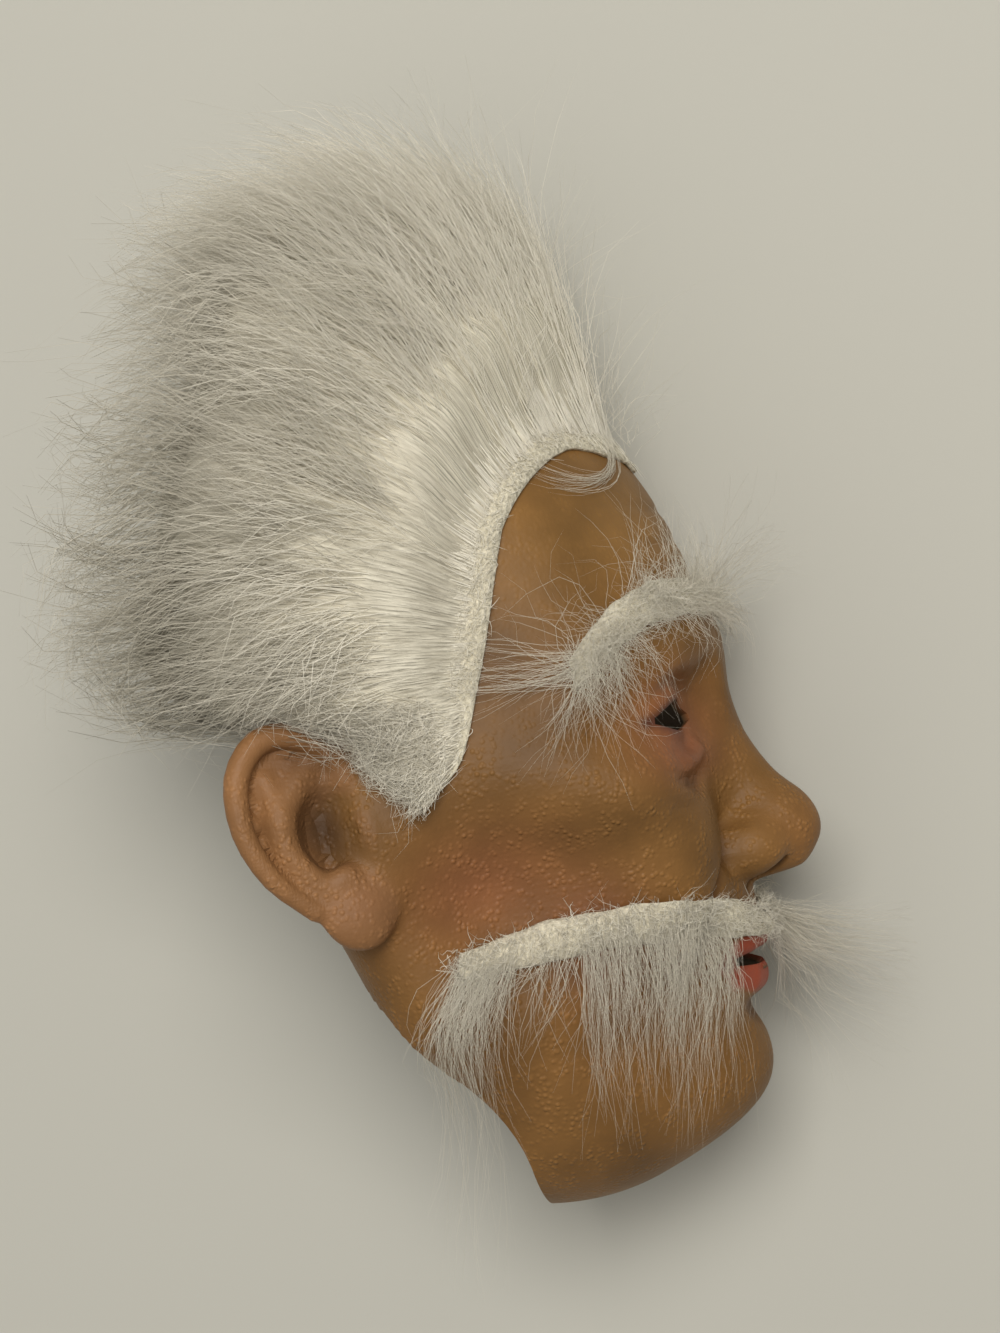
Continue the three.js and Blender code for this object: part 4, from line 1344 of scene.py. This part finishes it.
def combed_finish(name, look):
    """Dense fibres under the loose ones: fine streaks that run from the hairline to the tips, the darker
    streaks painted shade between the fibres, all scaled by the pile's paleness and painted shade.
    """
    mat, shader = material(name, Roughness=0.7)
    along = add_node(mat, "Mapping", {"Vector": attribute(mat, "flow", "Vector"), "Scale": (560, 9, 1)})
    streaks = noise(mat, along.outputs["Vector"], 1, 5, 0.35)
    # Dark streaks are painted shade in the gaps between fibres, and the tone attribute adds the pile's
    # painted shade low at the back
    colour = pile_shades(mat, streaks, look, (0.58, 0.56, 0.51), (0.95, 0.94, 0.90), 0.34, 0.66)
    colour = scaled(mat, colour, map_range(mat, attribute(mat, "tone"), to_low=0.28, to_high=1.04))
    set_inputs(mat, shader, {"Base Color": colour, "Normal": bump(mat, streaks, 1.0, 0.0015)})
    return mat


# Settings and operators

class MaskLook(bpy.types.PropertyGroup):
    """Sizes and colours of the mask."""

    cell: bpy.props.FloatProperty(
        name="Skin detail", description="Size of the skin mesh's faces, in millimetres", default=2.0, min=1.0)
    wall: bpy.props.FloatProperty(
        name="Skin thickness", description="Thickness of the latex, in millimetres", default=2.2, min=0.5)
    latex_colour: bpy.props.FloatVectorProperty(
        name="Latex", description="Main colour of the painted latex", subtype="COLOR", size=4,
        default=(*linear(123, 88, 46), 1))
    pile_colour: bpy.props.FloatVectorProperty(
        name="Pile", description="Colour of the white pile", subtype="COLOR", size=4,
        default=(*linear(246, 241, 226), 1))
    hair_count: bpy.props.IntProperty(
        name="Hair fibres", description="How many fibres the first of the hair's four layers has",
        default=5600, min=100)
    stray_count: bpy.props.IntProperty(
        name="Stray fibres", description="How many fine, curly fibres stray from the hairpiece",
        default=1900, min=10)
    fibre: bpy.props.FloatProperty(
        name="Fibre radius", description="Radius of the thickest fibres at the root, in millimetres",
        default=0.2, min=0.05)


class StageLook(bpy.types.PropertyGroup):
    """Floor, camera and light."""

    floor_colour: bpy.props.FloatVectorProperty(
        name="Floor", description="Colour of the floor", subtype="COLOR", size=4,
        default=(*linear(194, 193, 184), 1))
    roll: bpy.props.FloatProperty(
        name="Roll", description="How far the head leans back in the picture", subtype="ANGLE",
        default=math.radians(9))
    yaw: bpy.props.FloatProperty(
        name="Turn", description="How far the camera moves round to the front of the face", subtype="ANGLE",
        default=math.radians(9))
    distance: bpy.props.FloatProperty(
        name="Distance", description="How far the camera is from the point that it looks at",
        subtype="DISTANCE", unit="LENGTH", default=0.85)
    frame_height: bpy.props.FloatProperty(
        name="Frame height", description="Height of what the picture shows at the mask", subtype="DISTANCE",
        unit="LENGTH", default=0.392)


class LatexFace(bpy.types.Operator):
    """Adds the painted latex face with its ears"""

    bl_idname = "mask.latex_face"
    bl_label = "Latex Face"
    bl_options = {"REGISTER", "UNDO"}

    def execute(self, context):
        look = context.scene.mask_look
        cell = look.cell * 1.0
        ob = drop_outside(split_detail(closed_head(cell)), cell)
        p = mesh_points(ob.data)
        colour, stipple = skin_colours(p, look), stipple_mask(p)
        p[:, 2] = np.maximum(p[:, 2], SKIN_LOW)
        set_points(ob.data, place(p))
        ob = bake(thicken(ob, look.wall, -1.0))
        inner = len(ob.data.vertices) - len(p)
        paint(ob.data, "paint", np.concatenate([colour, np.repeat(linear(74, 60, 42)[None], inner, 0)]))
        paint(ob.data, "stipple", np.concatenate([stipple, np.zeros(inner)]))
        ob.data.materials.append(latex_finish())
        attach(ob, "root")
        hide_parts("latex_face")
        return {"FINISHED"}


def hair_backing(table, look):
    """Knitted backing, which shows as the edge of the hairpiece."""
    ob = sheet_between("hair_backing", BACKING_FACES, lambda u, v: hair_point(
        table, u, v * BACKING_SHARE, 0.0) + ridge_noise(u * 3, v * 4)[:, None] * 0.12)
    thicken(ob, BACKING_THICK, 0.0)
    ob.data.materials.append(felt_finish("knitted_edge", look))
    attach(ob, "root")
    return ob


def under_pile(table, look):
    """Dense layer of fibres that the loose ones rise from, pressed flat where the mask lies on it."""
    flow, tone = [], []

    def spot(a, v):
        flow.append(np.stack([a, v, np.zeros_like(a)], 1))
        a, v = lerp(0.01, 0.99, a), lerp(0.03, 0.86 + 0.03 * ridge_noise(a, 0), v ** 1.3)
        # tone carries the pile's paleness, partly painted shade, to the dense layer's finish
        tone.append(pile_tone_and_shade(a, v))
        return hair_point(table, combed(a, v), v, dense_level(a, v))

    ob = sheet_between("under_pile", UNDER_PILE_FACES, spot)
    paint(ob.data, "flow", flow[0])
    paint(ob.data, "tone", tone[0])
    ob = bake(thicken(ob, UNDER_PILE_THICK, -1.0))
    p = mesh_points(ob.data)
    p[:, 2] = np.interp(p[:, 2] * 1000, FLOOR_PRESS_FROM, FLOOR_PRESS_TO) / 1000
    set_points(ob.data, p)
    ob.data.materials.append(combed_finish("under_pile", look))
    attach(ob, "root")
    return ob


def hair_fibres(table, look):
    """Combed fibres, strays, single hairs, the lock on the forehead and the wool along the edge.

    Every kind has its own seed for its paths, and the radii are drawn from another.
    """
    finish = pile_finish("white_pile", look)
    locks = hair_locks()
    less = 1
    pieces = []
    for k, points in enumerate(LAYER_POINTS):
        count = look.hair_count * LAYER_POINTS[0] // points // less
        rng = np.random.default_rng(40 + k)
        path, shade = hair_strands(table, locks, count, 7 + k, points)
        radius = look.fibre * rng.uniform(0.45, 1.05, count)
        pieces.append(strands(f"hair_fibres_{k + 1}", path, radius, shade, finish))
    rng = np.random.default_rng(60)
    count = look.stray_count // less
    path, shade = hair_strands(table, locks, count, 17, 6, True)
    pieces.append(strands("hair_wisps", path, look.fibre * rng.uniform(0.3, 0.55, count), shade, finish))
    count = WISP_COUNT // less
    path, shade = front_wisps(table, count, 62)
    pieces.append(strands("front_wisps", path, look.fibre * rng.uniform(0.25, 0.45, count), shade, finish))
    path = forehead_curl(CURL_COUNT, 63)
    radius = look.fibre * rng.uniform(0.2, 0.4, CURL_COUNT)
    pieces.append(strands("forehead_curl", path, radius, rng.uniform(0.55, 0.9, CURL_COUNT), finish))
    count = EDGE_COUNT // less
    path = edge_fuzz(table, count, 61)
    radius = look.fibre * rng.uniform(0.4, 0.75, count)
    pieces.append(strands("hair_edge", path, radius, rng.normal(0.9, 0.1, count), finish))
    return pieces


class Hair(bpy.types.Operator):
    """Adds the hairpiece: its backing, the dense under-pile and the long fibres"""

    bl_idname = "mask.hair"
    bl_label = "Hair"
    bl_options = {"REGISTER", "UNDO"}

    def execute(self, context):
        look = context.scene.mask_look
        table = hair_base()
        for ob in (hair_backing(table, look), under_pile(table, look), *hair_fibres(table, look)):
            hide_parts("hairpiece")
        return {"FINISHED"}


def dress_strips(look, kind, path_of, seed, tufts, wool):
    """Adds both strips of a kind, each with long fibres and short wool, and hides the solid of each side."""
    felt = felt_finish(kind + "_backing", look)
    finish = pile_finish(kind + "_pile", look)
    for k, (name, side) in enumerate(SIDES.items()):
        node = f"{kind}_{name}"
        rng = np.random.default_rng(seed + side)
        path = path_of(side)
        strip = strip_backing(f"{kind}_strip_{name}", side, path)
        thicken(strip, STRIP_THICK)
        strip.data.materials.append(felt)
        groups = [tuft(side, path, rng, counts[k], *rest) for counts, *rest in tufts if counts[k]]
        long, fuzz = np.concatenate(groups), mat_fuzz(side, path, rng, wool[k])
        pieces = [
            strip,
            strands(node + "_fibres", long, look.fibre * rng.uniform(0.18, 0.38, len(long)),
                    rng.normal(0.7, 0.12, len(long)), finish),
            strands(node + "_fuzz", fuzz, look.fibre * rng.uniform(0.3, 0.55, len(fuzz)),
                    rng.normal(0.9, 0.08, len(fuzz)), finish),
        ]
        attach(strip, "root")
        for ob in pieces:
            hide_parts(node)


class Brows(bpy.types.Operator):
    """Adds both brows"""

    bl_idname = "mask.brows"
    bl_label = "Brows"
    bl_options = {"REGISTER", "UNDO"}

    def execute(self, context):
        look = context.scene.mask_look
        dress_strips(look, "brow", brow_path, 11, BROW_TUFTS, BROW_WOOL)
        return {"FINISHED"}


class Moustache(bpy.types.Operator):
    """Adds both halves of the moustache"""

    bl_idname = "mask.moustache"
    bl_label = "Moustache"
    bl_options = {"REGISTER", "UNDO"}

    def execute(self, context):
        look = context.scene.mask_look
        dress_strips(look, "moustache", moustache_path, 21, MOUSTACHE_TUFTS, MOUSTACHE_WOOL)
        return {"FINISHED"}


class Stage(bpy.types.Operator):
    """Adds the floor, the light and the camera"""

    bl_idname = "mask.stage"
    bl_label = "Floor, Light and Camera"
    bl_options = {"REGISTER", "UNDO"}

    def execute(self, context):
        set_up = context.scene.mask_stage
        bm = bmesh.new()
        bmesh.ops.create_grid(bm, x_segments=1, y_segments=1, size=FLOOR_SIZE)
        floor = new_object("floor", bm)
        floor.data.materials.append(material("pale_floor", Roughness=0.85, Base_Color=set_up.floor_colour)[0])
        world = bpy.data.worlds.new("soft_room")
        context.scene.world = world
        context.scene.view_settings.view_transform = "Standard"
        world.use_nodes = True
        world.node_tree.nodes["Background"].inputs["Color"].default_value = ROOM_COLOUR
        world.node_tree.nodes["Background"].inputs["Strength"].default_value = ROOM_STRENGTH
        for name, at, size, power in LAMPS:
            lamp = bpy.data.lights.new(name, "AREA")
            lamp.size = size
            lamp.energy = power
            lamp.color = LAMP_COLOUR
            ob = bpy.data.objects.new(name, lamp)
            ob.location = at
            ob.rotation_euler = (Vector(LAMP_TARGET) - Vector(at)).to_track_quat("-Z", "Y").to_euler()
            context.scene.collection.objects.link(ob)
        context.scene.camera = self.camera(set_up)
        context.scene.collection.objects.link(context.scene.camera)
        return {"FINISHED"}

    def camera(self, set_up):
        """A camera that looks down on the mask, rolled and turned as the photograph's was."""
        c, s = math.cos(set_up.roll), math.sin(set_up.roll)
        right, up, back = Vector((c, -s, 0)), Vector((s, c, 0)), Vector((0, 0, 1))
        turn = Matrix.Rotation(set_up.yaw, 3, up)
        right, back = turn @ right, turn @ back
        lens = bpy.data.cameras.new("photo_view")
        lens.sensor_fit = "VERTICAL"
        lens.sensor_height = SENSOR_HEIGHT
        lens.sensor_width = SENSOR_WIDTH
        lens.lens = SENSOR_HEIGHT * set_up.distance / set_up.frame_height
        ob = bpy.data.objects.new("photo_view", lens)
        target = Vector(place(VIEW_TARGET))
        ob.matrix_world = Matrix.Translation(target + back * set_up.distance) @ Matrix(
            (right, up, back)).transposed().to_4x4()
        return ob


class MaskPanel(bpy.types.Panel):
    """Lists the mask's pieces and settings"""

    bl_label = "Old Man Mask"
    bl_idname = "VIEW3D_PT_old_man_mask"
    bl_space_type = "VIEW_3D"
    bl_region_type = "UI"
    bl_category = "Old Man Mask"

    def draw(self, context):
        for group, operators in (
            (context.scene.mask_look, (LatexFace, Hair, Brows, Moustache)),
            (context.scene.mask_stage, (Stage,)),
        ):
            for name in group.__annotations__:
                self.layout.prop(group, name)
            for operator in operators:
                self.layout.operator(operator.bl_idname)


CLASSES = (MaskLook, StageLook, LatexFace, Hair, Brows, Moustache, Stage, MaskPanel)


def register():
    for cls in CLASSES:
        bpy.utils.register_class(cls)
    bpy.types.Scene.mask_look = bpy.props.PointerProperty(type=MaskLook)
    bpy.types.Scene.mask_stage = bpy.props.PointerProperty(type=StageLook)


def unregister():
    del bpy.types.Scene.mask_stage
    del bpy.types.Scene.mask_look
    for cls in reversed(CLASSES):
        bpy.utils.unregister_class(cls)


def main():
    register()
    bpy.ops.mask.stage()
    bpy.ops.mask.latex_face()
    bpy.ops.mask.hair()
    bpy.ops.mask.brows()
    bpy.ops.mask.moustache()


if __name__ == "__main__":
    main()
